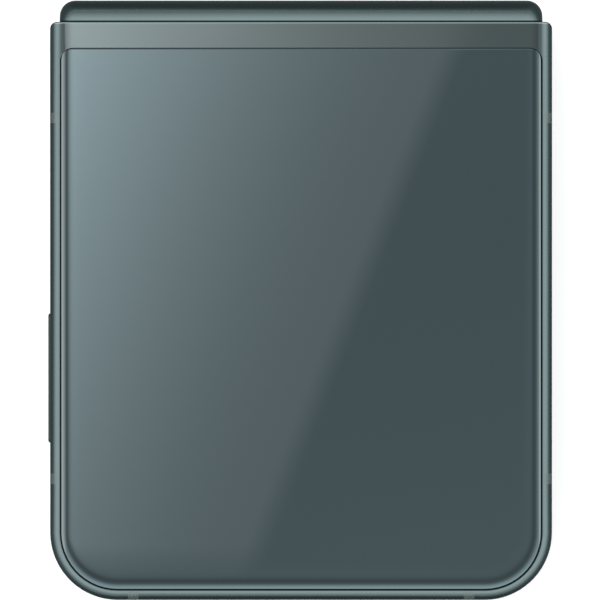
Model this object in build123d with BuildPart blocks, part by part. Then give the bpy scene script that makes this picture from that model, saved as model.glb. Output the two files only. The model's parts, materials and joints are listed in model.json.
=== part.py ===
from build123d import *
import os
from math import acos, asin, cos, degrees, hypot, pi, radians, sin, sqrt, tan

# A folding phone, closed and lying on its camera side. Two glass-backed halves turn on a metal
# spine, and gears in the spine keep them in step. Each half has its own frame: x across, y from
# the fold line to the free end, z from the half's back up to the display's face. The spine's
# frame is the camera half's frame with the phone opened flat, with z = 0 at the display's face.
# Millimetres and degrees.

# ---- Halves ----
phone_width = 72.2
half_length = 83.2            # fold line to free end
half_thickness = 6.9          # back to the display's face
free_corner = 9.7
hinge_corner = 1.0
back_round = 2.2
front_round = 0.5
strip_round = 0.25            # along the hinge end of the back
end_gap = 0.05                # each half stops this short of the fold line
wall = 2.5                    # frame round the component bay
rim = 0.95                    # thin top of the frame, outside the bezel
plan_round = 0.8              # small inside corners of plates and recesses
hinge_zone = 16.5             # fold line to the component bay

# ---- Layers, from the display's face down and from the back up ----
display_sheet = 0.4
display_plate = 0.4
midplate = 0.7
midplate_rest = 1.0           # onto the frame round the bay
display_margin = 2.0
bezel_leg = 0.9
bezel_lip = 1.0
bezel_cover = 1.8             # width of the lip
bezel_start = 3.4
bezel_round = 0.35
fit = 0.05                    # between flat pieces of one half
glass = 0.55
glass_bond = 0.1
glass_margin = 1.45
glass_start = 3.8
glass_corner = 1.9
glass_seam = 0.08
glass_curve = 2.9             # width of the sloped edge of the glass
glass_drop = 0.3
ledge = 0.6
ledge_width = 1.2

# ---- Hinge ----
pivot_y = 2.3
pivot_depth = 0.645
close_turn = 90.4             # degrees
spine_radius = 5.35
spine_wall = 0.5
spine_inset = 1.35            # spine's ends, in from the phone's sides
spine_round = 2.2
spine_gap = 0.12              # between spine and pocket
rim_gap = 0.2                 # under the hinge brackets
cap_width = 2.8               # end caps that close the fold from the side
cap_rise = 0.1
cap_round = 0.7
module_inset = 15.1           # middle of a hinge module, in from the phone's side
block_length = 14.0
block_gap = 0.05
trough_gap = 0.1
shoe_inner = 2.2
shoe_outer = 3.4
shoe_width = 3.0
shoe_place = 4.4              # from the module's middle
shoe_start = 185.0            # degrees
shoe_end = 350.0              # degrees
shoe_spare = 10.0             # degrees of slot past the shoe's end
slot_gap = 0.05
bracket = 0.7                 # thickness of a bracket's plate
bracket_width = 12.2
bracket_start = 8.0
bracket_end = 15.4
bracket_gap = 0.15            # under the display's plate
screw_place = 4.2
screw_rows = (9.7, 13.7)
screw_shank = 0.45
screw_head = 0.9
screw_head_height = 0.3
screw_depth = 2.4

# ---- Geared arms ----
gear_module = 0.2
pressure = 25.0               # degrees
arm_teeth = 17
idler_teeth = 11
sector_teeth = 6
gear_backlash = 0.04
tip_share = 0.8               # tooth tip and root, in modules
root_share = 1.1
gear_drop = 0.9               # idler axle below the arm's axle
arm_depth = 3.1               # arm axle below the display's face
arm_thickness = 1.5
arm_reach = 9.15              # arm axle to slot pin
arm_rise = 0.5                # slot pin above the arm axle
arm_bar = 0.55
arm_bar_rise = 0.62
arm_boss = 0.6
arm_gap = 0.2                 # to each side of the arm
slot_pin = 0.35
slot_clear = 0.05
cheek = 1.0
cheek_margin = 0.45
axle = 0.4
axle_clear = 0.03
idler_width = 2.2
bay_gap = 0.12
spring_start = 7.25
spring_length = 3.6
spring_outer = 1.35
spring_bore = 0.5
spring_steel = 0.3
spring_cups = 4
collar = 1.0
collar_length = 0.6
block_screw_place = 2.1
block_screw_seat = 3.3        # underside of the head, below the display's face
block_head = 0.6
block_shank = 0.4
block_screw_bite = 0.3        # into the spine's wall
flex_width = 6.0
flex_thickness = 0.12
flex_place = 4.6              # ribbon's middle, each side of the phone's middle
flex_start = 5.0              # where a half's ribbon meets the hinge's
flex_drop = 1.2               # straight run of the loop below the pivots
flex_gap = 0.2                # under the midplate
bottom_angle = 270.0          # degrees, to the bottom of the display's fold
connector = 2.4
cover_flex_stop = 30.6        # ribbon's end to the free end
base_flex_stop = 16.2

# ---- Antenna breaks ----
break_width = 1.5
break_start = 13.85
break_inset = 17.45           # the far break, in from the free end
break_end_inset = 11.95       # the breaks in the free end, in from the sides
break_depth = 1.3

# ---- Camera half ----
window_length = 33.7
ring_height = 0.35
ring_round = 0.28
ring_radius = 5.9
ring_sleeve = 5.2
ring_bore = 4.5
lens_gap = 0.05
lens_thickness = 0.6
lens_sink = 0.15
camera_side = 11.5            # camera's middle to the phone's side
camera_ends = (23.8, 11.0)    # to the free end
camera_box = 11.4
camera_barrel = 4.7
flash_step = 9.0              # from the cameras' row
flash_radius = 1.2
screen_side = 4.9
screen_step = 13.8            # from the cameras' row
screen_ends = (28.6, 6.8)
screen_thickness = 0.8
front_camera_end = 6.6
front_camera_box = 6.2
front_camera_nose = 1.7
earpiece_size = (11.0, 4.0)
earpiece_end = 5.8
slit_length = 9.0
slit_width = 0.45
key_height = 2.4
key_clear = 0.12
key_flange = 0.8
key_flange_thickness = 0.5
key_z = 3.55
key_travel = 0.25
key_depth = 2.1
key_round = 0.3
strip = 0.3
dome_radius = 0.8
volume_share = (0.5188, 0.8985)  # key's ends, in shares of the side from hinge zone to far break
side_share = (0.061, 0.3655)
volume_stand = 0.43
tray_span = (21.5, 37.0)
tray_z = 3.2
tray_thickness = 0.8
tray_length = 15.4
tray_face = 1.0
tray_face_height = 1.7
tray_side = 1.2
tray_pocket_start = 4.0
tray_eject = 0.4
cage_sheet = 0.25

# ---- Inner parts ----
board = 0.8
board_z = 2.3
board_edge = 0.6              # board to the bay's wall
battery_z = 1.5
battery_top_gap = 0.25
battery_start = 18.0
cover_battery_side = 4.6
cover_battery_end = 35.2      # battery to the free end
base_battery_side = 5.1
base_battery_end = 20.7
leg_side = 19.1               # width of the board's leg, with its gap
leg_gap = 2.5                 # leg to battery
shield_height = 0.75
shield_side = 5.1
shield_inner = 5.0
shield_start = 20.5
shield_ends = (29.7, 11.2)
small_shield_start = -2.0
small_shield_step = 13.1      # from the cameras' row
small_shield_ends = (28.7, 15.2)
leg_shield_side = 4.6
leg_shield_gap = 1.5
leg_shield_end = 42.7
post = 1.4
cover_post_sides = (11.1, 7.6, 7.1)
cover_post_ends = (39.4, 32.6, 7.7, 12.2)
camera_post_step = 10.1       # from the cameras' row
base_post_sides = (6.6, 26.4)
base_post_x = -9.0
base_post_ends = (17.0, 13.6, 12.2)
coil_margin = 3.25            # coil to the battery's ends
coil_inner = 8.0
coil_thickness = 0.4
sub_board_length = 19.2
usb_width = 8.94
usb_height = 3.16
usb_depth = 7.35
usb_sheet = 0.3
usb_sink = 0.3
usb_tongue = (6.2, 0.7, 4.5)
port_z = 3.55
speaker_sides = (24.1, 7.1)
speaker_ends = (16.2, 4.6)
speaker_holes = 5
speaker_hole = 0.55
speaker_pitch = 2.3
speaker_hole_side = 19.1
mic_x = -11.0
mic_hole = 0.5
mic_size = (3.6, 2.8, 1.0)
motor_side = 14.1
motor_end = 11.7
motor_radius = 5.0
motor_height = 3.2

# ---- Heights and places that follow ----
side_x = phone_width / 2
spine_length = phone_width - 2 * spine_inset
module_x = side_x - module_inset
break_places = (break_start, half_length - break_inset)
break_end_place = side_x - break_end_inset
window_start = half_length - window_length
camera_x = side_x - camera_side
camera_places = [half_length - end for end in camera_ends]
flash_place = (camera_x - flash_step, sum(camera_places) / 2)
screen_x = (screen_side - side_x, camera_x - screen_step)
screen_y = [half_length - end for end in screen_ends]
front_camera_y = half_length - front_camera_end
earpiece_x = (front_camera_box / 2 + camera_x - camera_box / 2) / 2
earpiece_y = half_length - earpiece_end
key_room = break_places[1] - hinge_zone
volume_span = [hinge_zone + share * key_room for share in volume_share]
side_span = [hinge_zone + share * key_room for share in side_share]
board_leg_end = leg_side - side_x
cover_battery_span = (
    (board_leg_end + leg_gap, side_x - cover_battery_side),
    (battery_start, half_length - cover_battery_end),
)
base_battery_span = (
    (base_battery_side - side_x, side_x - base_battery_side),
    (battery_start, half_length - base_battery_end),
)
shield_spans = (
    ((shield_side - side_x, -shield_inner), [half_length - end for end in shield_ends]),
    (
        (small_shield_start, camera_x - small_shield_step),
        [half_length - end for end in small_shield_ends],
    ),
    (
        (leg_shield_side - side_x, board_leg_end - leg_shield_gap),
        (shield_start, half_length - leg_shield_end),
    ),
)
cover_post_x = (
    cover_post_sides[0] - side_x,
    side_x - cover_post_sides[1],
    cover_post_sides[2] - side_x,
    camera_x - camera_post_step,
)
cover_posts = [(x, half_length - end) for x, end in zip(cover_post_x, cover_post_ends)]
base_post_row = (base_post_sides[0] - side_x, side_x - base_post_sides[1], base_post_x)
base_posts = [(x, half_length - end) for x, end in zip(base_post_row, base_post_ends)]
coil_place = sum(base_battery_span[1]) / 2
coil_outer = coil_place - battery_start - coil_margin
sub_board_start = half_length - sub_board_length
speaker_span = (
    [side_x - side for side in speaker_sides],
    [half_length - end for end in speaker_ends],
)
speaker_hole_x = side_x - speaker_hole_side
motor_place = (motor_side - side_x, half_length - motor_end)
cover_flex_end = half_length - cover_flex_stop
base_flex_end = half_length - base_flex_stop
sheet_z = half_thickness - display_sheet
plate_z = sheet_z - display_plate
midplate_z = plate_z - midplate
glass_seat = glass + glass_bond
bay_z = glass_seat + ledge
pivot_z = half_thickness - pivot_depth
pivot = (pivot_y, pivot_z)
turn = radians(close_turn)
# The folding strip bends to an arc that leaves both displays straight, with its length kept.
fold_radius = (pivot_y * (1 - cos(turn)) - pivot_depth * sin(turn)) / (sin(turn) - turn * cos(turn))
sheet_start = fold_radius * turn
plate_start = sheet_start + fit
midplate_start = hinge_zone - fit
midplate_margin = wall - midplate_rest
bracket_z = plate_z - bracket_gap - bracket
rim_depth = half_thickness - bracket_z + rim_gap
fold_depth = (
    pivot_depth - (sheet_start - pivot_y) * sin(turn) - (pivot_depth + fold_radius) * cos(turn)
)
fold_y = (half_length - spine_radius + pivot_y) / 2
arm_pitch = gear_module * arm_teeth / 2
idler_pitch = gear_module * idler_teeth / 2
idler_depth = arm_depth + gear_drop
shaft_y = idler_pitch + sqrt((arm_pitch + idler_pitch) ** 2 - gear_drop**2)
mesh_angle = 180 + degrees(asin(gear_drop / (arm_pitch + idler_pitch)))
shaft_swing = hypot(shaft_y - pivot_y, arm_depth - pivot_depth)
shaft_angle = -90 + degrees(asin((shaft_y - pivot_y) / shaft_swing))
slot_center = (pivot_y + arm_reach, pivot_z + arm_rise)
slot_low = slot_center[1] - shaft_swing - slot_pin - slot_clear
slot_near = slot_center[0] + shaft_swing * cos(radians(shaft_angle - close_turn)) - slot_pin
slot_far = slot_center[0] + shaft_swing * cos(radians(shaft_angle)) + slot_pin
cheek_z = slot_low - cheek_margin
cheek_range = (slot_near - cheek_margin, slot_far + cheek_margin)
arm_bay_z = cheek_z - rim_gap
bay_end = cheek_range[1] + rim_gap
flex_z = midplate_z - flex_gap
bottom_depth = pivot_depth + spine_radius
screw_tip = bottom_depth - spine_wall + block_screw_bite
usb_back = half_length - usb_sink - usb_depth
mic_y = half_length - wall - fit
modules = (-module_x, module_x)
sides = (-1, 1)

# ---- Frames of the closed phone ----


def turned(plane, center, angle):
    """The plane after a turn about the x-parallel line through center (y, z) of its frame."""
    y, z = center
    return Plane(plane.location * Pos(0, y, z) * Rot(angle, 0, 0) * Pos(0, -y, -z))


def facing_back(plane):
    """The plane after half a turn about its own z axis."""
    return Plane(origin=plane.origin, x_dir=-plane.x_dir, z_dir=plane.z_dir)


def on_axle(side_frame, center, angle):
    """Frame on an axle at center (y, z) of a side of the spine, turned about it."""
    return Plane(side_frame.location * Pos(0, *center) * Rot(angle, 0, 0))


cover = Plane(origin=(0, fold_y, ring_height), x_dir=(-1, 0, 0), z_dir=(0, 0, 1))
spine_back = turned(cover, pivot, -close_turn)
spine = spine_back.offset(half_thickness)
base = turned(facing_back(spine_back), pivot, close_turn)
cover_side = spine
base_side = facing_back(spine)

os.makedirs("parts", exist_ok=True)


def finish(piece, frame, name):
    """Set a piece, made in the frame's own axes, into the closed phone and write it out."""
    with BuildPart(frame) as node:
        add(piece.part)
    node.part.label = name
    export_step(node.part, f"parts/{name}.step")


# ---- Shapes that repeat ----


def plan(height, margin, start, hinge_round):
    """Face parallel to a half's back, a margin inside its outline, from y = start on."""
    width = phone_width - 2 * margin
    length = half_length - margin - start
    with BuildSketch(Plane.XY.offset(height)) as face:
        with Locations((0, start)):
            Rectangle(width, length, align=(Align.CENTER, Align.MIN))
        fillet(face.vertices().group_by(Axis.Y)[-1], free_corner - margin)
        fillet(face.vertices().group_by(Axis.Y)[0], hinge_round)
    return face.sketch


def layer(bottom, top, margin, start, hinge_round=plan_round, mode=Mode.ADD):
    """Extrude a plan face between two heights in the part being built."""
    extrude(plan(bottom, margin, start, hinge_round), amount=top - bottom, mode=mode)


def brick(x, y, z, mode=Mode.ADD):
    """Box that spans the ranges x, y and z in the part being built."""
    with Locations((x[0], y[0], z[0])):
        Box(x[1] - x[0], y[1] - y[0], z[1] - z[0], align=(Align.MIN,) * 3, mode=mode)


def span(middle, size):
    """Range of a size about a middle."""
    return (middle - size / 2, middle + size / 2)


def rod(radius, x, center, mode=Mode.ADD):
    """Cylinder along x that spans the range x, with its axis at center (y, z)."""
    with BuildSketch(Plane.YZ.offset(x[0])) as face:
        with Locations(center):
            Circle(radius)
    extrude(face.sketch, amount=x[1] - x[0], mode=mode)


def stub(radius, place, z, mode=Mode.ADD):
    """Upright cylinder that spans the range z at place (x, y)."""
    with Locations((place[0], place[1], z[0])):
        Cylinder(radius, z[1] - z[0], align=(Align.CENTER, Align.CENTER, Align.MIN), mode=mode)


# ---- Frames of the halves ----


def make_blank():
    """Outer form of a half: square hinge end, round free corners, rounded long edges."""
    with BuildPart() as blank:
        with BuildSketch():
            with Locations((0, end_gap)):
                Rectangle(phone_width, half_length - end_gap, align=(Align.CENTER, Align.MIN))
        extrude(amount=half_thickness)
        fillet(blank.edges().filter_by(Axis.Z).group_by(Axis.Y)[-1], free_corner)
        fillet(blank.faces().sort_by(Axis.Z)[0].edges().sort_by(Axis.Y)[1:], back_round)
        fillet(blank.faces().sort_by(Axis.Z)[-1].edges(), front_round)
        fillet(blank.faces().sort_by(Axis.Y)[0].edges(), strip_round)
        layer(0, half_thickness, 0, end_gap, hinge_corner, Mode.INTERSECT)
    return blank


def break_cutters():
    """Blocks where the plastic antenna breaks cross the frame, narrower beside the bezel."""
    low = (-fit, plate_z)
    high = (plate_z, half_thickness + fit)
    edge = phone_width / 2
    with BuildPart() as cutters:
        for side in sides:
            for y in break_places:
                for depth, z in ((break_depth, low), (rim - fit, high)):
                    brick(sorted((side * (edge - depth), side * (edge + fit))), span(y, break_width), z)
            for depth, z in ((break_depth, low), (rim - fit, high)):
                y = (half_length - depth, half_length + fit)
                brick(span(side * break_end_place, break_width), y, z)
    return cutters


def make_frame():
    """Metal frame of a half with its recesses and the spine's pocket, but no ports."""
    pocket = spine_radius + spine_gap
    with BuildPart() as frame:
        add(blank.part)
        layer(0, glass_seat, glass_margin - glass_seam, glass_start - glass_seam,
              glass_corner + glass_seam, Mode.SUBTRACT)
        layer(glass_seat, bay_z, wall + ledge_width, hinge_zone + ledge_width, mode=Mode.SUBTRACT)
        layer(bay_z, midplate_z, wall, hinge_zone, mode=Mode.SUBTRACT)
        layer(midplate_z, plate_z, midplate_margin - fit, midplate_start - fit, mode=Mode.SUBTRACT)
        layer(plate_z, half_thickness, rim, -plan_round, mode=Mode.SUBTRACT)
        across = span(0, spine_length + 2 * spine_gap)
        rod(pocket, across, pivot, Mode.SUBTRACT)
        brick(across, (0, pivot_y), (pivot_z - pocket, half_thickness), Mode.SUBTRACT)
        for x in modules:
            recess = bracket_width + 4 * fit
            brick(span(x, recess), (pivot_y, bracket_end + 2 * fit), (bracket_z, plate_z), Mode.SUBTRACT)
            bay = arm_thickness + 2 * (arm_gap + cheek + arm_gap)
            brick(span(x, bay), (2 * pivot_y, bay_end), (arm_bay_z, bracket_z), Mode.SUBTRACT)
            for side in sides:
                for y in screw_rows:
                    place = (x + side * screw_place, y)
                    z = (bracket_z - screw_depth - 2 * fit, bracket_z)
                    stub(screw_shank + axle_clear, place, z, Mode.SUBTRACT)
        channel = 2 * flex_place + flex_width + 2 * rim_gap
        brick(span(0, channel), (2 * pivot_y, hinge_zone), (flex_z - fit, plate_z), Mode.SUBTRACT)
        add(cutters.part, mode=Mode.SUBTRACT)
    return frame


def make_breaks():
    """Plastic antenna breaks, flush with the frame's outside."""
    with BuildPart() as breaks:
        add(blank.part)
        layer(plate_z, half_thickness, rim, -plan_round, mode=Mode.SUBTRACT)
        add(cutters.part, mode=Mode.INTERSECT)
    return breaks


# ---- Layers of the halves ----


def make_glass():
    """Rear glass with edges that slope down along the sides and the free end."""
    with BuildPart() as sheet:
        layer(0, glass, glass_margin, -free_corner, free_corner - glass_margin)
        back = sheet.faces().sort_by(Axis.Z)[0]
        chamfer(back.edges(), glass_curve, glass_drop, reference=back)
        layer(0, glass, glass_margin, glass_start, glass_corner, Mode.INTERSECT)
    return sheet


def make_display_plate():
    """Thin steel plate under a half's display."""
    with BuildPart() as plate:
        layer(plate_z, sheet_z, display_margin, plate_start)
    return plate


def make_display():
    """Flat part of the display on a half."""
    with BuildPart() as display:
        layer(sheet_z, half_thickness, display_margin, sheet_start, fit)
    return display


def make_bezel():
    """U-shaped bezel: a leg in the frame's rim and a lip over the display's edge."""
    leg_outer = rim + fit
    leg_inner = leg_outer + bezel_leg
    lip_inner = leg_outer + bezel_cover
    top = half_thickness + bezel_lip
    with BuildPart() as bezel:
        layer(half_thickness, top, leg_outer, bezel_start)
        layer(half_thickness, top, lip_inner, 0, mode=Mode.SUBTRACT)
        crest = bezel.faces().sort_by(Axis.Z)[-1]
        fillet(crest.edges(), bezel_round)
        with BuildPart(mode=Mode.PRIVATE) as leg:
            layer(plate_z, half_thickness, leg_outer, bezel_start)
            layer(plate_z, half_thickness, leg_inner, 0, mode=Mode.SUBTRACT)
        add(leg.part)
    return bezel


def make_midplate(posts):
    """Stiffening plate over the bay, with posts that the half's board is screwed to."""
    with BuildPart() as plate:
        layer(midplate_z, plate_z, midplate_margin, midplate_start)
        for place in posts:
            stub(post, place, (board_z + board, midplate_z))
            bore = (board_z + board, plate_z - fit)
            stub(screw_shank + axle_clear, place, bore, Mode.SUBTRACT)
    return plate


def make_board_screws(posts):
    """Screws that hold a board to the posts, with their heads to the back."""
    with BuildPart() as screws:
        for place in posts:
            stub(screw_head, place, (board_z - screw_head_height, board_z))
            stub(screw_shank, place, (board_z, midplate_z))
    return screws


def drill_posts(posts):
    """Clearance holes for the board screws in the board being built."""
    for place in posts:
        stub(screw_shank + fit, place, (board_z, board_z + board), Mode.SUBTRACT)


def make_battery(x, y):
    """Battery pouch that spans x and y."""
    with BuildPart() as battery:
        brick(x, y, (battery_z, midplate_z - battery_top_gap))
        fillet(battery.edges().filter_by(Axis.Z), wall)
        fillet(battery.faces().sort_by(Axis.Z)[0].edges(), rim)
    return battery


# ---- Hinge: spine ----


def ring_sector(center, inner, outer, start, end):
    """Face of a ring sector about center, between two angles."""
    with BuildSketch() as face:
        with BuildLine():
            near = CenterArc(center, inner, start, end - start)
            far = CenterArc(center, outer, start, end - start)
            Line(near @ 0, far @ 0)
            Line(near @ 1, far @ 1)
        make_face()
    return face.sketch


def make_stadium(radius, length, end_round):
    """Spine form: two parallel rounds on the pivots, rounded ends, cut off below the brackets."""
    with BuildPart() as form:
        with BuildSketch(Plane.YZ.offset(-length / 2)):
            with Locations((0, -pivot_depth)):
                SlotOverall(2 * (pivot_y + radius), 2 * radius)
        extrude(amount=length)
        fillet(form.faces().filter_by(Axis.X).edges(), end_round)
        brick(span(0, length), span(0, 4 * radius), (-rim_depth, radius), Mode.SUBTRACT)
    return form


def make_spine_cover():
    """Bent metal cover with closed ends, notches for the arms and caps beside the fold."""
    shell = make_stadium(spine_radius, spine_length, spine_round)
    inside = spine_radius - spine_wall
    hollow = make_stadium(inside, spine_length - 2 * spine_wall, spine_round - spine_wall)
    end = spine_length / 2
    notch_floor = arm_bar_rise - arm_bar / 2 - arm_gap / 2 - arm_depth
    with BuildPart() as part:
        for side in sides:
            x = sorted((side * end, side * (end - spine_wall)))
            brick(x, span(0, cap_width), (-rim_depth, cap_rise))
        fillet(part.edges().filter_by(Axis.X).group_by(Axis.Z)[-1], cap_round)
        add(shell.part)
        add(hollow.part, mode=Mode.SUBTRACT)
        for x in modules:
            notch = span(x, arm_thickness + 2 * arm_gap)
            brick(notch, span(0, 4 * spine_radius), (notch_floor, 0), Mode.SUBTRACT)
            for side in sides:
                place = (x + side * block_screw_place, 0)
                z = (-screw_tip - fit, -screw_tip + spine_wall)
                stub(block_shank + axle_clear, place, z, Mode.SUBTRACT)
    return part


def make_side_cuts():
    """Shoe slot, gear bay and bores that one half needs in a hinge block, in the half's side frame."""
    tip = gear_module * tip_share + bay_gap
    bay = span(0, idler_width + 4 * bay_gap)
    arm_axle = (shaft_y, -arm_depth)
    idler_axle = (idler_pitch, -idler_depth)
    with BuildPart() as cuts:
        with BuildSketch(Plane.YZ.offset(-shoe_place - shoe_width / 2 - slot_gap)) as slot:
            center = (pivot_y, -pivot_depth)
            radii = (shoe_inner - slot_gap, shoe_outer + slot_gap)
            add(ring_sector(center, *radii, shoe_start - shoe_spare, shoe_end))
        extrude(slot.sketch, amount=shoe_width + 2 * slot_gap)
        rod(arm_pitch + tip, bay, arm_axle)
        rod(idler_pitch + tip, bay, idler_axle)
        brick(bay, (idler_pitch, 2 * spine_radius), (-arm_depth + arm_gap, 0))
        rod(axle + axle_clear, span(0, 2 * block_screw_place), arm_axle)
        rod(axle + axle_clear, (-block_screw_place, block_length / 2), idler_axle)
    return cuts


def make_hinge_blocks():
    """Fixed blocks in the spine, one for each hinge module."""
    radius = spine_radius - spine_wall - block_gap
    trough = fold_radius + display_sheet + trough_gap
    cuts = make_side_cuts()
    with BuildPart() as block:
        with BuildSketch(Plane.YZ.offset(-block_length / 2)):
            with Locations((0, -pivot_depth)):
                SlotOverall(2 * (pivot_y + radius), 2 * radius)
            with Locations((0, radius - rim_depth)):
                Rectangle(4 * radius, 2 * radius, mode=Mode.SUBTRACT)
            with Locations((0, -fold_depth)):
                Circle(trough, mode=Mode.SUBTRACT)
        extrude(amount=block_length)
        with Locations((0, 0, 0), Location((0, 0, 0), (0, 0, 180))):
            add(cuts.part, mode=Mode.SUBTRACT)
        for side in sides:
            place = (side * block_screw_place, 0)
            stub(block_shank + axle_clear, place, (-bottom_depth, 0), Mode.SUBTRACT)
            stub(block_head + axle_clear, place, (-block_screw_seat, 0), Mode.SUBTRACT)
    with BuildPart() as blocks:
        with Locations(*[(x, 0, 0) for x in modules]):
            add(block.part)
    return blocks


def make_block_screws():
    """Screws that hold the hinge blocks to the spine cover from inside."""
    with BuildPart() as screws:
        for x in modules:
            for side in sides:
                place = (x + side * block_screw_place, 0)
                stub(block_head, place, (-block_screw_seat, -block_screw_seat + screw_head_height))
                stub(block_shank, place, (-screw_tip, -block_screw_seat))
    return screws


def make_display_fold():
    """Folding strip of the display, bent round inside the spine."""
    start = bottom_angle - close_turn
    with BuildPart() as fold:
        with BuildSketch(Plane.YZ.offset(-phone_width / 2 + display_margin)) as section:
            ends = (start, start + 2 * close_turn)
            add(ring_sector((0, -fold_depth), fold_radius, fold_radius + display_sheet, *ends))
        extrude(section.sketch, amount=phone_width - 2 * display_margin)
    return fold


# ---- Hinge: gears and arms ----


def tooth_half_width(radius, teeth):
    """Half of a tooth's thickness at a radius, by the involute of its base circle."""
    pitch_radius = gear_module * teeth / 2
    angle = radians(pressure)
    here = acos(min(1, pitch_radius * cos(angle) / radius))
    half_angle = pi / 2 / teeth + tan(angle) - angle - (tan(here) - here)
    return radius * half_angle - gear_backlash / 2


def gear_face(teeth, first, count):
    """Gear face with count teeth, the first of them centred at the angle first."""
    pitch_radius = gear_module * teeth / 2
    root = pitch_radius - root_share * gear_module
    tip = pitch_radius + tip_share * gear_module
    with BuildSketch() as tooth:
        heights = (root, pitch_radius, tip)
        upper = [(r, tooth_half_width(r, teeth)) for r in heights]
        lower = [(r, -half) for r, half in reversed(upper)]
        Polygon((0, 0), *upper, *lower)
    with BuildSketch() as face:
        Circle(root)
        with PolarLocations(0, count, first, count * 360 / teeth):
            add(tooth.sketch)
    return face.sketch


def make_arms(phase):
    """Geared arms of one half, in a frame on their axle; phase shifts the teeth by a part of a pitch."""
    first = mesh_angle - (sector_teeth - 1 - phase) * 360 / arm_teeth
    slot_pin_length = arm_thickness + 2 * (arm_gap + cheek)
    with BuildPart() as arms:
        for x in modules:
            with BuildSketch(Plane.YZ.offset(x - arm_thickness / 2)) as face:
                add(gear_face(arm_teeth, first, sector_teeth))
                with Locations((arm_reach / 2, arm_bar_rise)):
                    Rectangle(arm_reach, arm_bar)
                with Locations((arm_reach, arm_rise)):
                    Circle(arm_boss)
                Circle(axle + axle_clear, mode=Mode.SUBTRACT)
            extrude(face.sketch, amount=arm_thickness)
            rod(slot_pin, span(x, slot_pin_length), (arm_reach, arm_rise))
    return arms


def make_arm_pins():
    """Axles of the arms of both halves, fixed in the hinge blocks."""
    with BuildPart() as pins:
        for x in modules:
            for side in sides:
                rod(axle, span(x, 2 * block_screw_place - fit), (side * shaft_y, -arm_depth))
    return pins


def make_idlers(phase):
    """Idler gears of one half with their shafts, in a frame on their axle."""
    first = mesh_angle + 180 + (phase - 0.5) * 360 / idler_teeth
    collar_start = spring_start + spring_length + fit
    with BuildPart() as idlers:
        for x in modules:
            with BuildSketch(Plane.YZ.offset(x - idler_width / 2)) as face:
                add(gear_face(idler_teeth, first, idler_teeth))
            extrude(face.sketch, amount=idler_width)
            rod(axle, (x - block_screw_place + fit, x + collar_start + collar_length), (0, 0))
            rod(collar, (x + collar_start, x + collar_start + collar_length), (0, 0))
    return idlers


def make_springs():
    """Stacks of cupped spring washers on the idler shafts of one half, in a frame on their axle."""
    step = spring_length / spring_cups
    lean = step - spring_steel
    with BuildPart() as springs:
        for x in modules:
            with BuildSketch(Plane.XZ) as section:
                for cup in range(spring_cups):
                    start = x + spring_start + cup * step
                    ends = (spring_bore, spring_outer) if cup % 2 else (spring_outer, spring_bore)
                    near = (start, ends[0])
                    far = (start + lean, ends[1])
                    Polygon(near, (near[0] + spring_steel, near[1]), (far[0] + spring_steel, far[1]), far)
            revolve(section.sketch, Axis.X)
    return springs


def pin_slot():
    """Face of the curved slot that an arm's pin slides in."""
    half = slot_pin + slot_clear
    closed = shaft_angle - close_turn
    with BuildSketch() as face:
        add(ring_sector(slot_center, shaft_swing - half, shaft_swing + half, closed, shaft_angle))
        with Locations(slot_center):
            with PolarLocations(shaft_swing, 2, closed, close_turn, endpoint=True):
                Circle(half)
    return face.sketch


def make_brackets():
    """Hinge brackets of one half: curved shoe, plate screwed to the frame, slotted cheeks."""
    plate_z_range = (bracket_z, bracket_z + bracket)
    with BuildPart() as brackets:
        for x in modules:
            with BuildSketch(Plane.YZ.offset(x - shoe_place - shoe_width / 2)) as shoe:
                add(ring_sector(pivot, shoe_inner, shoe_outer, shoe_start, shoe_end))
                with Locations((pivot_y + shoe_inner + slot_gap, bracket_z)):
                    bridge = bracket_start - pivot_y - shoe_inner
                    Rectangle(bridge, bracket, align=(Align.MIN, Align.MIN))
            extrude(shoe.sketch, amount=shoe_width)
            brick(span(x, bracket_width), (bracket_start, bracket_end), plate_z_range)
            cheeks = arm_thickness + 2 * (arm_gap + cheek)
            brick(span(x, cheeks), cheek_range, (cheek_z, bracket_z))
            opening = span(x, arm_thickness + 2 * arm_gap)
            brick(opening, (bracket_start, cheek_range[1]), (cheek_z, plate_z), Mode.SUBTRACT)
            with BuildSketch(Plane.YZ.offset(x - cheeks / 2)) as slot:
                add(pin_slot())
            extrude(slot.sketch, amount=cheeks, mode=Mode.SUBTRACT)
            for side in sides:
                for y in screw_rows:
                    place = (x + side * screw_place, y)
                    head_seat = bracket_z + bracket - screw_head_height
                    stub(screw_shank + fit, place, plate_z_range, Mode.SUBTRACT)
                    stub(screw_head + fit, place, (head_seat, plate_z), Mode.SUBTRACT)
    return brackets


def make_bracket_screws():
    """Screws through the hinge brackets of one half into its frame."""
    top = bracket_z + bracket
    with BuildPart() as screws:
        for x in modules:
            for side in sides:
                for y in screw_rows:
                    place = (x + side * screw_place, y)
                    stub(screw_head, place, (top - screw_head_height, top))
                    stub(screw_shank, place, (bracket_z - screw_depth, top - screw_head_height))
    return screws


# ---- Ribbon cables ----


def make_flex(end):
    """Ribbon cables of one half, from the hinge to connectors at y = end."""
    with BuildPart() as flex:
        for side in sides:
            x = side * flex_place
            brick(span(x, flex_width), (flex_start, end), (flex_z, flex_z + flex_thickness))
            brick(span(x, flex_width - 2 * fit), (end - connector, end), (board_z + board, flex_z))
    return flex


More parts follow.
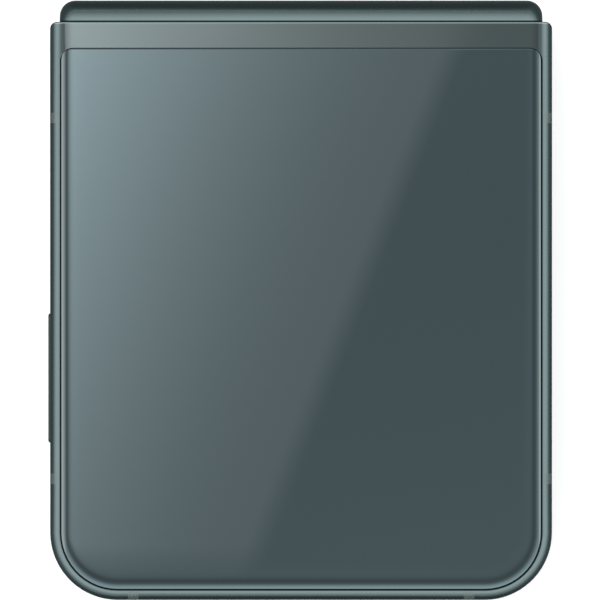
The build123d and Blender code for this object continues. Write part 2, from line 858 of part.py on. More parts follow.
def make_hinge_flex():
    """Ribbon cables across the hinge, hanging as a loop inside the spine."""
    middle = flex_z + flex_thickness / 2
    along = (flex_start - pivot_y, middle - pivot_z)
    end = (
        pivot_y + along[0] * cos(turn) - along[1] * sin(turn),
        -pivot_depth + along[0] * sin(turn) + along[1] * cos(turn),
    )
    run = flex_start - pivot_y + flex_drop
    bend = (end[0] - run * cos(turn), end[1] - run * sin(turn))
    with BuildPart() as flex:
        for side in sides:
            with BuildSketch(Plane.YZ.offset(side * flex_place - flex_width / 2)) as section:
                with BuildLine() as path:
                    Line(end, bend)
                    TangentArc(bend, (-bend[0], bend[1]), tangent=(-cos(turn), -sin(turn)))
                    Line((-bend[0], bend[1]), (-end[0], end[1]))
                trace(line_width=flex_thickness)
            extrude(section.sketch, amount=flex_width)
    return flex


# ---- Camera half: glass, cameras, screen ----


def make_camera_glass(window):
    """Rear glass of the camera half: the dark window by the free end, or the plain part."""
    margin = fit if window else -fit
    seam = window_start + margin
    width = span(0, phone_width)
    with BuildPart() as part:
        add(make_glass().part)
        if window:
            brick(width, (0, seam), (-fit, glass + fit), Mode.SUBTRACT)
            for y in camera_places:
                stub(ring_sleeve + fit, (camera_x, y), (-fit, glass + fit), Mode.SUBTRACT)
            stub(flash_radius + fit, flash_place, (-fit, glass + fit), Mode.SUBTRACT)
        else:
            brick(width, (seam, half_length), (-fit, glass + fit), Mode.SUBTRACT)
    return part


def make_camera_rings():
    """Metal rings round the camera windows, each with a sleeve through the glass."""
    with BuildPart() as rings:
        for y in camera_places:
            place = (camera_x, y)
            stub(ring_radius, place, (-ring_height, 0))
            stub(ring_sleeve, place, (0, glass))
        rims = rings.faces().sort_by(Axis.Z)[:2]
        fillet(rims.edges(), ring_round)
        for y in camera_places:
            stub(ring_bore, (camera_x, y), (-ring_height, glass), Mode.SUBTRACT)
    return rings


def make_camera_lenses():
    """Round glass windows inside the camera rings."""
    top = -ring_height + lens_sink
    with BuildPart() as lenses:
        for y in camera_places:
            stub(ring_bore - lens_gap, (camera_x, y), (top, top + lens_thickness))
    return lenses


def make_camera_modules():
    """Cameras: a round lens barrel behind the window and a square body."""
    with BuildPart() as cameras:
        for y in camera_places:
            place = (camera_x, y)
            stub(camera_barrel, place, (glass_seat, board_z))
            brick(span(camera_x, camera_box), span(y, camera_box), (board_z, midplate_z - fit))
    return cameras


def make_flash():
    """Flash window with a wider lamp behind the glass."""
    with BuildPart() as flash:
        stub(flash_radius, flash_place, (0, glass))
        stub(flash_radius + ledge, flash_place, (glass + fit, board_z - shield_height))
    return flash


def make_outer_screen():
    """Small screen behind the camera half's window."""
    with BuildPart() as screen:
        brick(screen_x, screen_y, (glass_seat, glass_seat + screen_thickness))
        fillet(screen.edges().filter_by(Axis.Z), plan_round)
    return screen


def make_main_board():
    """L-shaped board round the battery, with openings for the cameras."""
    battery_x, battery_y = cover_battery_span
    top = board_z + board
    with BuildPart() as part:
        layer(board_z, top, wall + board_edge, battery_y[0])
        edge = (board_leg_end, phone_width / 2)
        brick(edge, (0, battery_y[1] + board_edge), (board_z, top), Mode.SUBTRACT)
        for y in camera_places:
            size = camera_box + 2 * rim_gap
            brick(span(camera_x, size), span(y, size), (board_z, top), Mode.SUBTRACT)
        drill_posts(cover_posts)
    return part


def make_shields():
    """Metal cans over the chips, on the back of the main board."""
    with BuildPart() as shields:
        for x, y in shield_spans:
            brick(x, y, (board_z - shield_height, board_z))
        fillet(shields.edges().filter_by(Axis.Z), plan_round)
    return shields


def make_front_camera():
    """Small camera with a nose that ends under the display's hole."""
    body_top = midplate_z - fit
    with BuildPart() as camera:
        box = span(0, front_camera_box)
        brick(box, span(front_camera_y, front_camera_box), (board_z + board, body_top))
        stub(front_camera_nose, (0, front_camera_y), (body_top, half_thickness - fit))
    return camera


def bore_front_camera():
    """Opening for the front camera's nose in the plate being built."""
    stub(front_camera_nose + fit, (0, front_camera_y), (midplate_z, half_thickness), Mode.SUBTRACT)


def make_earpiece():
    """Earpiece between the front camera and the outer cameras."""
    with BuildPart() as earpiece:
        x = span(earpiece_x, earpiece_size[0])
        brick(x, span(earpiece_y, earpiece_size[1]), (board_z + board, midplate_z - fit))
        fillet(earpiece.edges().filter_by(Axis.Z), plan_round)
    return earpiece


# ---- Camera half: keys and SIM tray ----


def key_profile(length, grow):
    """Face of a key's cap or its opening, drawn in y and z about the key's middle."""
    height = key_height + 2 * grow
    with BuildSketch() as face:
        SlotOverall(length + 2 * grow, height)
    return face.sketch


def make_key(key_span, stand):
    """Key in the frame's side with a flange that keeps it in; stand is how far it protrudes."""
    edge = phone_width / 2
    length = key_span[1] - key_span[0]
    middle = (sum(key_span) / 2, key_z)
    back = edge - key_depth
    with BuildPart() as key:
        with BuildSketch(Plane.YZ.offset(back)) as cap:
            with Locations(middle):
                add(key_profile(length, 0))
        extrude(cap.sketch, amount=key_depth + stand)
        fillet(key.faces().sort_by(Axis.X)[-1].edges(), key_round)
        y = span(middle[0], length + 2 * key_flange)
        brick((back, back + key_flange_thickness), y, span(key_z, key_height))
    return key


def cut_key(key_span):
    """Opening for a key and its flange in the frame being built."""
    edge = phone_width / 2
    length = key_span[1] - key_span[0]
    middle = (sum(key_span) / 2, key_z)
    with BuildSketch(Plane.YZ.offset(edge - wall)) as opening:
        with Locations(middle):
            add(key_profile(length, key_clear))
    extrude(opening.sketch, amount=wall + fit, mode=Mode.SUBTRACT)
    x = (edge - wall, edge - key_depth + key_flange_thickness + key_travel + fit)
    y = span(middle[0], length + 2 * key_flange + 2 * key_clear)
    brick(x, y, span(key_z, key_height + 2 * key_clear), Mode.SUBTRACT)


def make_key_switches():
    """Strips inside the frame with the domes that the keys press."""
    inside = phone_width / 2 - wall
    dome_top = phone_width / 2 - key_depth - key_travel - axle_clear
    with BuildPart() as switches:
        for key_span, domes in ((volume_span, 2), (side_span, 1)):
            middle = sum(key_span) / 2
            length = key_span[1] - key_span[0] + 4 * key_flange
            brick((inside - strip, inside), span(middle, length), span(key_z, key_height))
            pitch = (key_span[1] - key_span[0]) / 2
            for dome in range(domes):
                y = middle + (dome - (domes - 1) / 2) * pitch
                rod(dome_radius, (inside, dome_top), (y, key_z))
    return switches


def make_tray():
    """SIM tray: a face plate in the frame's side and a pocketed carrier behind it."""
    edge = -phone_width / 2
    middle_z = tray_z + tray_thickness / 2
    with BuildPart() as tray:
        with BuildSketch(Plane.YZ.offset(edge)):
            with Locations((sum(tray_span) / 2, middle_z)):
                SlotOverall(tray_span[1] - tray_span[0], tray_face_height)
        extrude(amount=tray_face)
        carrier_y = (tray_span[0] + tray_side, tray_span[1] - tray_side)
        brick((edge + tray_face, edge + tray_length), carrier_y, (tray_z, tray_z + tray_thickness))
        pocket_x = (edge + tray_pocket_start, edge + tray_length - tray_side)
        pocket_y = (carrier_y[0] + tray_side, carrier_y[1] - tray_side)
        brick(pocket_x, pocket_y, (tray_z + cage_sheet, tray_z + tray_thickness), Mode.SUBTRACT)
        eject = tray_span[1] - tray_face_height / 2
        rod(tray_eject, (edge, edge + tray_face), (eject, middle_z), Mode.SUBTRACT)
    return tray


def cut_tray():
    """Slot for the SIM tray in the frame being built."""
    edge = -phone_width / 2
    middle = (sum(tray_span) / 2, tray_z + tray_thickness / 2)
    with BuildSketch(Plane.YZ.offset(edge - fit)) as face:
        with Locations(middle):
            SlotOverall(tray_span[1] - tray_span[0] + 2 * glass_seam, tray_face_height + 2 * glass_seam)
    extrude(face.sketch, amount=tray_face + 2 * fit, mode=Mode.SUBTRACT)
    y = (tray_span[0] + tray_side - key_clear, tray_span[1] - tray_side + key_clear)
    z = (tray_z - key_clear / 2, tray_z + tray_thickness + key_clear / 2)
    brick((edge + tray_face, edge + wall + fit), y, z, Mode.SUBTRACT)


def make_sim_socket():
    """Sheet-metal cage on the main board that guides the SIM tray."""
    gap = rim_gap
    near = -phone_width / 2 + wall + board_edge
    x = (near, -phone_width / 2 + tray_length + gap + cage_sheet)
    y = (tray_span[0] + tray_side - gap, tray_span[1] - tray_side + gap)
    bottom = board_z + board
    top = tray_z + tray_thickness + gap
    with BuildPart() as cage:
        brick(x, (y[0] - cage_sheet, y[1] + cage_sheet), (bottom, top + cage_sheet))
        brick((x[0], x[1] - cage_sheet), y, (bottom, top), Mode.SUBTRACT)
    return cage


# ---- Base half: coil, board, ports ----


def make_coil():
    """Flat charging coil on the back of the battery."""
    bottom = battery_z - coil_thickness
    with BuildPart() as coil:
        stub(coil_outer, (0, coil_place), (bottom, battery_z))
        stub(coil_inner, (0, coil_place), (bottom, battery_z), Mode.SUBTRACT)
    return coil


def make_sub_board():
    """Board by the free end, with openings for the socket, loudspeaker and motor."""
    top = board_z + board
    speaker_x, speaker_y = speaker_span
    with BuildPart() as part:
        layer(board_z, top, wall + board_edge, sub_board_start)
        usb_y = (usb_back - rim_gap, half_length)
        brick(span(0, usb_width + 2 * rim_gap), usb_y, (board_z, top), Mode.SUBTRACT)
        x = (speaker_x[0] - rim_gap, phone_width / 2)
        brick(x, (speaker_y[0] - rim_gap, half_length), (board_z, top), Mode.SUBTRACT)
        stub(motor_radius + rim_gap, motor_place, (board_z, top), Mode.SUBTRACT)
        drill_posts(base_posts)
    return part


def make_usb_socket():
    """Socket shell with a tongue, closed at the back."""
    with BuildPart() as socket:
        with BuildSketch(Plane.XZ.offset(-usb_back)):
            with Locations((0, port_z)):
                SlotOverall(usb_width, usb_height)
        extrude(amount=-usb_depth)
        with BuildSketch(Plane.XZ.offset(-usb_back - usb_sheet)) as inside:
            with Locations((0, port_z)):
                SlotOverall(usb_width - 2 * usb_sheet, usb_height - 2 * usb_sheet)
        extrude(inside.sketch, amount=-usb_depth, mode=Mode.SUBTRACT)
        width, height, length = usb_tongue
        brick(span(0, width), (usb_back, usb_back + length), span(port_z, height))
    return socket


def cut_ports():
    """Openings in the free end of the frame being built: socket, loudspeaker, microphone."""
    inside = half_length - wall
    with BuildSketch(Plane.XZ.offset(-inside)) as face:
        with Locations((0, port_z)):
            SlotOverall(usb_width + 2 * fit, usb_height + 2 * fit)
        for hole in range(speaker_holes):
            x = speaker_hole_x + (hole - (speaker_holes - 1) / 2) * speaker_pitch
            with Locations((x, port_z)):
                Circle(speaker_hole)
        with Locations((mic_x, port_z)):
            Circle(mic_hole)
    extrude(face.sketch, amount=-wall - fit, mode=Mode.SUBTRACT)


def make_loudspeaker():
    """Loudspeaker box behind the holes in the free end."""
    with BuildPart() as speaker:
        brick(*speaker_span, (battery_z, midplate_z - fit))
        fillet(speaker.edges().filter_by(Axis.Z), wall)
        fillet(speaker.faces().sort_by(Axis.Z)[0].edges(), plan_round)
    return speaker


def make_microphone():
    """Microphone can on the small board, behind its hole."""
    width, length, height = mic_size
    y = (mic_y - length, mic_y)
    with BuildPart() as microphone:
        brick(span(mic_x, width), y, (board_z + board, board_z + board + height))
    return microphone


def make_motor():
    """Round vibration motor."""
    with BuildPart() as motor:
        stub(motor_radius, motor_place, (midplate_z - motor_height, midplate_z - fit))
        fillet(motor.faces().sort_by(Axis.Z)[0].edges(), plan_round)
    return motor


# ---- Build: both halves ----
blank = make_blank()
cutters = break_cutters()
frame = make_frame()

with BuildPart() as cover_frame:
    add(frame.part)
    cut_key(volume_span)
    cut_key(side_span)
    cut_tray()
finish(cover_frame, cover, "cover_frame")

with BuildPart() as base_frame:
    add(frame.part)
    cut_ports()
finish(base_frame, base, "base_frame")

with BuildPart() as cover_display_plate:
    add(make_display_plate().part)
    bore_front_camera()
finish(cover_display_plate, cover, "cover_display_plate")

with BuildPart() as cover_display:
    add(make_display().part)
    bore_front_camera()
finish(cover_display, cover, "cover_display")

with BuildPart() as cover_midplate:
    add(make_midplate(cover_posts).part)
    bore_front_camera()
finish(cover_midplate, cover, "cover_midplate")

with BuildPart() as cover_bezel:
    add(make_bezel().part)
    slit_y = half_length - rim - fit - bezel_cover + bezel_round
    slit_z = (half_thickness, half_thickness + bezel_lip)
    brick(span(0, slit_length), (slit_y, slit_y + slit_width), slit_z, Mode.SUBTRACT)
finish(cover_bezel, cover, "cover_bezel")

for half, name in ((cover, "cover"), (base, "base")):
    finish(make_breaks(), half, f"{name}_antenna_breaks")
    finish(make_brackets(), half, f"{name}_hinge_brackets")
    finish(make_bracket_screws(), half, f"{name}_bracket_screws")
finish(make_glass(), base, "base_rear_glass")
finish(make_midplate(base_posts), base, "base_midplate")
finish(make_display_plate(), base, "base_display_plate")
finish(make_display(), base, "base_display")
finish(make_bezel(), base, "base_bezel")

# ---- Build: camera half ----
finish(make_camera_glass(False), cover, "cover_rear_glass")
finish(make_camera_glass(True), cover, "camera_window")
finish(make_camera_rings(), cover, "camera_rings")
finish(make_camera_lenses(), cover, "camera_lenses")
finish(make_camera_modules(), cover, "camera_modules")
finish(make_flash(), cover, "flash_lens")
finish(make_outer_screen(), cover, "outer_screen")
finish(make_main_board(), cover, "main_board")
finish(make_board_screws(cover_posts), cover, "main_board_screws")
finish(make_shields(), cover, "board_shields")
finish(make_battery(*cover_battery_span), cover, "cover_battery")
finish(make_front_camera(), cover, "front_camera")
finish(make_earpiece(), cover, "earpiece")
finish(make_key(volume_span, volume_stand), cover, "volume_key")
finish(make_key(side_span, 0), cover, "side_key")
finish(make_key_switches(), cover, "key_switches")
finish(make_tray(), cover, "sim_tray")
finish(make_sim_socket(), cover, "sim_socket")
finish(make_flex(cover_flex_end), cover, "cover_ribbons")

# ---- Build: base half ----
finish(make_battery(*base_battery_span), base, "base_battery")
finish(make_coil(), base, "charging_coil")
finish(make_sub_board(), base, "sub_board")
finish(make_board_screws(base_posts), base, "sub_board_screws")
finish(make_usb_socket(), base, "usb_socket")
finish(make_loudspeaker(), base, "loudspeaker")
finish(make_microphone(), base, "microphone")
finish(make_motor(), base, "vibration_motor")
finish(make_flex(base_flex_end), base, "base_ribbons")

# ---- Build: hinge ----
finish(make_spine_cover(), spine, "spine_cover")
finish(make_hinge_blocks(), spine, "hinge_blocks")
finish(make_block_screws(), spine, "hinge_block_screws")
finish(make_arm_pins(), spine, "arm_pins")
finish(make_display_fold(), spine, "display_fold")
finish(make_hinge_flex(), spine, "hinge_ribbons")
for side_frame, name, phase in ((cover_side, "cover", 0), (base_side, "base", 0.5)):
    arm_frame = on_axle(side_frame, (shaft_y, -arm_depth), close_turn)
    idler_turn = -close_turn * arm_teeth / idler_teeth
    idler_frame = on_axle(side_frame, (idler_pitch, -idler_depth), idler_turn)
    spring_frame = on_axle(side_frame, (idler_pitch, -idler_depth), 0)
    finish(make_arms(phase), arm_frame, f"{name}_arms")
    finish(make_idlers(phase), idler_frame, f"{name}_idlers")
    finish(make_springs(), spring_frame, f"{name}_side_springs")
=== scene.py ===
"""A folding phone with a satin slate-green body, lying closed on its camera side."""

import json
import math

import bpy
import numpy as np
from mathutils import Matrix, Vector

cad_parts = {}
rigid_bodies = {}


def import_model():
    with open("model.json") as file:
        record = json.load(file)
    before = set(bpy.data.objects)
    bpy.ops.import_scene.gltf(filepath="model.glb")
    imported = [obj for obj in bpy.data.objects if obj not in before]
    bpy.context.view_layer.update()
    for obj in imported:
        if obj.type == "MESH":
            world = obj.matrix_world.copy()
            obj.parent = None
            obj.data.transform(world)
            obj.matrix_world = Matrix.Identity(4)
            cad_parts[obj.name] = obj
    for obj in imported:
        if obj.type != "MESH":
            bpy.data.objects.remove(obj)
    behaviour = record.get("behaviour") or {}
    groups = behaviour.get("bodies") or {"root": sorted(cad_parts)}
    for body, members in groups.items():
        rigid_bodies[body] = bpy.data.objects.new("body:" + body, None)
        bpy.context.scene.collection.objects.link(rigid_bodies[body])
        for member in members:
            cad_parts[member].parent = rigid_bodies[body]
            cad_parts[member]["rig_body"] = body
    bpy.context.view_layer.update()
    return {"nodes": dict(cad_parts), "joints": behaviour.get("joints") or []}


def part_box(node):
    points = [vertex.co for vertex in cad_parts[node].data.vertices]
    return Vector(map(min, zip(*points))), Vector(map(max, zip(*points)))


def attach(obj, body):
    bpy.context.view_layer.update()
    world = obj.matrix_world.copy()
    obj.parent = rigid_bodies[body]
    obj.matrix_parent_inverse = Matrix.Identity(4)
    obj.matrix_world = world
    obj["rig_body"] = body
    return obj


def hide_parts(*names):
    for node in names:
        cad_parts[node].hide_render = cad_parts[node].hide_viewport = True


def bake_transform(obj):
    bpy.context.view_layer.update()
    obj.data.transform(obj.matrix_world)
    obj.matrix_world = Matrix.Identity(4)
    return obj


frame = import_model()

MM = 0.001

# ---- Camera: straight above the plain half, in millimetres ----
LENS = 900
SENSOR = 36
VIEW_WIDTH = 86.36
VIEW_CENTRE = (-0.155, -0.05)
VIEW_HEIGHT = 13.5                  # height at which the frame is VIEW_WIDTH wide
CAMERA_DISTANCE = VIEW_WIDTH / SENSOR * LENS
CLIP = (0.1, 20)                    # in metres


def make_camera():
    """A long lens looks straight down from CAMERA_DISTANCE above VIEW_HEIGHT."""
    data = bpy.data.cameras.new("studio_camera")
    data.lens = LENS
    data.sensor_width = SENSOR
    data.clip_start, data.clip_end = CLIP
    camera = bpy.data.objects.new("studio_camera", data)
    camera.location = Vector((*VIEW_CENTRE, VIEW_HEIGHT + CAMERA_DISTANCE)) * MM
    bpy.context.scene.collection.objects.link(camera)
    bpy.context.scene.camera = camera


make_camera()

# ---- Sizes of the phone, in millimetres ----
HALF_WIDTH = 36.1
HALF_LENGTH = 83.2
THICKNESS = 6.9                     # of the open phone
FOLD_Y = 40.075                     # where the fold line lies
LIFT = 0.35                         # the camera rings hold the cover half this far up
CLOSE_TURN = 90.4                   # degrees that each half turns to close
FREE_CORNER = 9.7
HINGE_CORNER = 1.85
WINDOW_START = 49.5                 # fold line to the camera window
WINDOW_GAP = 0.04
WINDOW_CORNER = 0.12

GLASS_MARGIN = 1.5                  # outline of a half to its glass
GLASS_START = 3.85                  # fold line to the glass
GLASS_THICKNESS = 0.5
GLASS_HALF_WIDTH = HALF_WIDTH - GLASS_MARGIN
GLASS_END = HALF_LENGTH - GLASS_MARGIN
GLASS_CORNER = FREE_CORNER - GLASS_MARGIN
# Outline of each glass: its two ends, then the corners' radii at them.
NEAR_OUTLINE = (GLASS_START, GLASS_END, HINGE_CORNER, GLASS_CORNER)
FAR_OUTLINE = (GLASS_START, WINDOW_START - WINDOW_GAP, HINGE_CORNER, WINDOW_CORNER)
# (distance in from a side or the free end, fall of the back below its flat)
GLASS_FALL = (
    (0.0, 0.40), (0.05, 0.376), (0.1, 0.352), (0.2, 0.300), (0.3, 0.252), (0.4, 0.208), (0.5, 0.169),
    (0.6, 0.134), (0.7, 0.104), (0.8, 0.080), (0.9, 0.062), (1.0, 0.049), (1.1, 0.039),
    (1.2, 0.0307), (1.35, 0.0213), (1.5, 0.0148), (1.9, 0.005), (2.9, 0.0),
)
# (inset from the outline, least fall of the back there)
GLASS_RIM = ((0.0, 0.12), (0.04, 0.05), (0.1, 0.01), (0.2, 0.0))
GLASS_INSETS = (12.0, 7.0, 4.0)     # rings on the flat
# Section of the seal: (inset from the glass's outline, depth below the glass's flat)
SEAL_SECTION = (
    (-0.07, 0.45), (-0.07, 0.23), (-0.04, 0.21), (0.02, 0.22), (0.06, 0.26), (0.085, 0.345),
    (0.085, 0.45),
)


# ---- Places of the halves and the spine in the closed phone ----


def turn_about(point, degrees):
    """Turn about the hinge's direction through a point; a positive turn opens the phone."""
    shift = Matrix.Translation(Vector(point))
    turn = Matrix.Rotation(math.radians(degrees), 4, Vector((-1, 0, 0)))
    return shift @ turn @ shift.inverted()


def moved(y, z):
    """Shift along the phone and upwards, in millimetres."""
    return Matrix.Translation(Vector((0, y, z)) * MM)


joints = {joint["name"]: joint for joint in frame["joints"]}
cover_pivot = joints["spine_turn"]["pos_m"]
base_pivot = turn_about(cover_pivot, CLOSE_TURN) @ Vector(joints["base_turn"]["pos_m"])
close_spine = turn_about(cover_pivot, -CLOSE_TURN)
close_base = close_spine @ turn_about(base_pivot, -CLOSE_TURN)
scale = Matrix.Diagonal((MM, MM, MM, 1))
turned_round = Matrix.Rotation(math.pi, 4, "Z") @ scale
cover_half = moved(FOLD_Y, LIFT) @ turned_round
base_half = close_base @ moved(FOLD_Y, LIFT) @ scale
spine = close_spine @ moved(FOLD_Y, LIFT + THICKNESS) @ turned_round


def placed(points, matrix):
    """Points of a half's own frame, in millimetres, carried into the closed phone."""
    m = np.array(matrix)
    return (points.reshape(-1, 3) @ m[:3, :3].T + m[:3, 3]).reshape(points.shape)


# ---- Materials: spans in millimetres, grains in cells a metre, reliefs in metres ----
PAINTED_EDGE_HIGHLIGHT = (39.62, 39.84)           # painted highlight on the rounded end of the strip, toward the hinge
PAINTED_SPINE_SHADE = (0.0, 40.14)         # painted shade of the gap between the spine and the halves' ends, toward the hinge
BAND_FADE = 0.04
STRIP_START = 35.0                  # metal strip between glass and hinge, toward the hinge
ROLL_ACROSS = (32.6, 34.3)          # way out from the middle over which the strip rolls off
GLASS_HIGHLIGHT_SPANS = ((-33.70, -34.05), (34.12, 34.30))   # across, from the flat to the rolled edge, where the coat is painted paler: a painted highlight
# paler coat colour of the painted highlight in the glass's rolled edges
GLASS_HIGHLIGHT_TONE = (0.165, 0.21, 0.216)
FINE_GRAIN = 9000.0
GRAIN_RELIEF = 0.00000005


class Nodes:
    """A node tree, with short ways to add nodes and join them."""

    def __init__(self, tree):
        self.tree = tree

    def put(self, socket, value):
        """Join a socket to the socket that value is, or set it to value."""
        if isinstance(value, bpy.types.NodeSocket):
            self.tree.links.new(value, socket)
        else:
            socket.default_value = value

    def node(self, kind, inputs=(), **settings):
        """Add a node, set its properties, and join or set its inputs."""
        node = self.tree.nodes.new("ShaderNode" + kind)
        for key, value in settings.items():
            setattr(node, key, value)
        for key, value in dict(inputs).items():
            self.put(node.inputs[key], value)
        return node

    def math(self, operation, a, b=0.0):
        """One arithmetic step; a and b are sockets or numbers."""
        return self.node("Math", {0: a, 1: b}, operation=operation).outputs[0]

    def ranged(self, value, start, end, first=0.0, last=1.0):
        """Value carried evenly from the span start to end to the span first to last, and held there."""
        inputs = {"Value": value, "From Min": start, "From Max": end, "To Min": first, "To Max": last}
        return self.node("MapRange", inputs).outputs[0]

    def ramp(self, value, stops):
        """Grey level that follows stops of (position, level) with value."""
        node = self.node("ValToRGB", {0: value})
        elements = node.color_ramp.elements
        while len(elements) < len(stops):
            elements.new(0.5)
        for element, (position, level) in zip(elements, stops):
            element.position = position
            element.color = (level, level, level, 1)
        return node.outputs["Color"]

    def mixed(self, value, first, second):
        """Colour that goes from first to second with value; each is a socket or a colour."""
        mix = self.node("Mix", {"Factor": value}, data_type="RGBA")
        for socket, end in zip([s for s in mix.inputs if s.type == "RGBA"], (first, second)):
            self.put(socket, end if isinstance(end, bpy.types.NodeSocket) else (*end, 1))
        return [s for s in mix.outputs if s.type == "RGBA"][0]


class Paint(Nodes):
    """A material's nodes about its shader, with patterns in object coordinates."""

    def __init__(self, name, color, rough, metal=0.0, **sockets):
        self.material = bpy.data.materials.new(name)
        self.material.use_nodes = True
        super().__init__(self.material.node_tree)
        self.shader = self.tree.nodes["Principled BSDF"]
        self.color = color
        for key, value in {"Roughness": rough, "Metallic": metal, **sockets}.items():
            self.shader.inputs[key.replace("_", " ")].default_value = value
        self.place = self.node("TexCoord").outputs["Object"]

    def noise(self, grain, detail=3.0, vector=None):
        """Cloudy noise between 0 and 1."""
        inputs = {"Vector": vector or self.place, "Scale": grain, "Detail": detail}
        return self.node("TexNoise", inputs).outputs["Fac"]

    def spread(self, noise, low, high):
        """Noise carried from its middle, 0.3 to 0.7, to the range low to high."""
        return self.ranged(noise, 0.3, 0.7, low, high)

    def tint(self, value, dark, light):
        """Colour that goes from dark times the base colour to light times it, with value."""
        return self.mixed(value, *[[min(1.0, c * k) for c in self.color] for k in (dark, light)])

    def set(self, socket, value):
        """Join a value to one of the shader's sockets."""
        self.tree.links.new(value, self.shader.inputs[socket])

    def tone(self, noise, dark, light):
        """Let noise carry the base colour from dark to light times its own."""
        self.set("Base Color", self.tint(self.spread(noise, 0, 1), dark, light))

    def polish(self, noise, low, high):
        """Let noise carry the roughness from low to high."""
        self.set("Roughness", self.spread(noise, low, high))

    def bump(self, height, strength, distance):
        """Raise the surface by a height pattern."""
        inputs = {"Height": height, "Strength": strength, "Distance": distance}
        self.set("Normal", self.node("Bump", inputs).outputs[0])


def speckled(name, color, rough, metal=0.0, grain=4000.0, relief=0.000004, vary=0.12, **sockets):
    """A plain finish: slow changes of tone by the share vary, a fine grain in gloss and relief."""
    paint = Paint(name, color, rough, metal, **sockets)
    fine = paint.noise(grain, detail=2.0)
    paint.tone(paint.noise(grain=60.0), 1 - vary, 1 + vary)
    paint.polish(fine, rough * 0.85, rough * 1.15)
    paint.bump(fine, strength=0.25, distance=relief)
    return paint


def satin_metal(name, color, rough, painted_band=PAINTED_SPINE_SHADE, painted_band_tone=1.0, roll=0.0):
    """Dyed metal with a satin polish: the finest grain in its gloss and a slow cloud in its tone.

    Over a span measured toward the hinge, its tone is a set number of times as light: painted light,
    a painted highlight along the rounded end of the strip on the body, and painted shade in the gap
    at the spine. Its polish rolls off by roll over the ends of the strip at the hinge: the height
    falls with the square of the way across ROLL_ACROSS.
    """
    paint = Paint(name, color, rough, metal=1.0)
    axes = paint.node("SeparateXYZ", {"Vector": paint.place}).outputs
    grain = paint.noise(FINE_GRAIN, detail=2.0)
    cloud = paint.noise(grain=45.0, detail=2.0)
    plain = paint.tint(paint.spread(cloud, 0, 1), 0.98, 1.02)
    # painted light over the span: the base colour is scaled up for a painted highlight and down for painted
    # shade
    start, end = painted_band
    middle, half = (start + end) / 2 * MM, (end - start) / 2 * MM
    away = paint.math("ABSOLUTE", paint.math("SUBTRACT", axes["Y"], middle))
    inside = paint.ranged(away, half - BAND_FADE * MM, half + BAND_FADE * MM, 1.0, 0.0)
    paint.set("Base Color", paint.mixed(inside, plain, [painted_band_tone * c for c in color]))
    paint.polish(grain, rough * 0.94, rough * 1.06)
    across = paint.math("ABSOLUTE", axes["X"])
    way = paint.ranged(across, ROLL_ACROSS[0] * MM, ROLL_ACROSS[1] * MM)
    at_strip = paint.math("GREATER_THAN", axes["Y"], STRIP_START * MM)
    depth = paint.math("MULTIPLY", at_strip, -roll)
    fall = paint.math("MULTIPLY", paint.math("MULTIPLY", way, way), depth)
    height = paint.math("ADD", paint.math("MULTIPLY", grain, GRAIN_RELIEF), fall)
    paint.bump(height, strength=1.0, distance=1.0)
    return paint


def mirror_coated_glass():
    """Clear polished glass over a smooth slate-green mirror coat with a fine pearl in its gloss.

    Across two spans at the rolled side edges the coat goes over to a paler tone: a painted highlight
    that makes the reflection in those edges brighter.
    """
    paint = Paint(
        "back_glass", (0.073, 0.123, 0.136), rough=0.06, metal=1.0, Coat_Weight=1.0, Coat_Roughness=0.015
    )
    across = paint.node("SeparateXYZ", {"Vector": paint.place}).outputs["X"]
    shares = [paint.ranged(across, start * MM, end * MM) for start, end in GLASS_HIGHLIGHT_SPANS]
    cloud = paint.noise(grain=20.0, detail=1.0)
    plain = paint.tint(paint.spread(cloud, 0, 1), 0.985, 1.015)
    # painted highlight: the coat is paler across the rolled edges
    paint.set("Base Color", paint.mixed(paint.math("MAXIMUM", *shares), plain, GLASS_HIGHLIGHT_TONE))
    paint.polish(paint.noise(FINE_GRAIN, detail=1.0), 0.05, 0.07)
    return paint


def dark_glass(name, color=(0.004, 0.005, 0.006), rough=0.04, shine=0.5):
    """Black glass with the faintest cloud in its polish; shine is how much it reflects."""
    paint = Paint(name, color, rough, Specular_IOR_Level=shine)
    cloud = paint.noise(grain=30.0)
    paint.tone(cloud, 0.9, 1.15)
    paint.polish(cloud, rough * 0.7, rough * 1.3)
    return paint


def brushed(name, color, rough, grains):
    """Steel with fine parallel grinding lines along the axis whose grain is smallest."""
    paint = Paint(name, color, rough, metal=1.0)
    stretched = paint.node("Mapping", {"Vector": paint.place, "Scale": grains}).outputs[0]
    lines = paint.noise(grain=1.0, detail=2.0, vector=stretched)
    paint.tone(lines, 0.86, 1.1)
    paint.polish(lines, rough * 0.7, rough * 1.3)
    paint.bump(lines, strength=0.2, distance=0.000004)
    return paint


def circuit_board():
    """Solder mask over copper tracks: fine straight tracks, pads and small dark chips."""
    paint = Paint("board_mask", (0.018, 0.085, 0.06), rough=0.35, Coat_Weight=0.3)

    def squares(grain, reach):
        """1 within reach of a cell's middle, counted along its sides, and 0 past it."""
        cells = paint.node("TexVoronoi", {"Vector": paint.place, "Scale": grain}, distance="CHEBYCHEV")
        return paint.math("LESS_THAN", cells.outputs["Distance"], reach)

    pad, chip = squares(grain=900.0, reach=0.12), squares(grain=260.0, reach=0.22)
    layout = {"Vector": paint.place, "Scale": 700.0, "Mortar Size": 0.06, "Row Height": 0.2}
    tracks = paint.node("TexBrick", layout).outputs["Fac"]
    color = paint.mixed(pad, paint.tint(tracks, 1.0, 1.7), (0.55, 0.38, 0.14))
    paint.set("Base Color", paint.mixed(chip, color, (0.012, 0.012, 0.014)))
    paint.polish(paint.noise(grain=3000.0), 0.3, 0.5)
    paint.bump(paint.math("MAXIMUM", pad, chip), strength=0.6, distance=0.00003)
    return paint


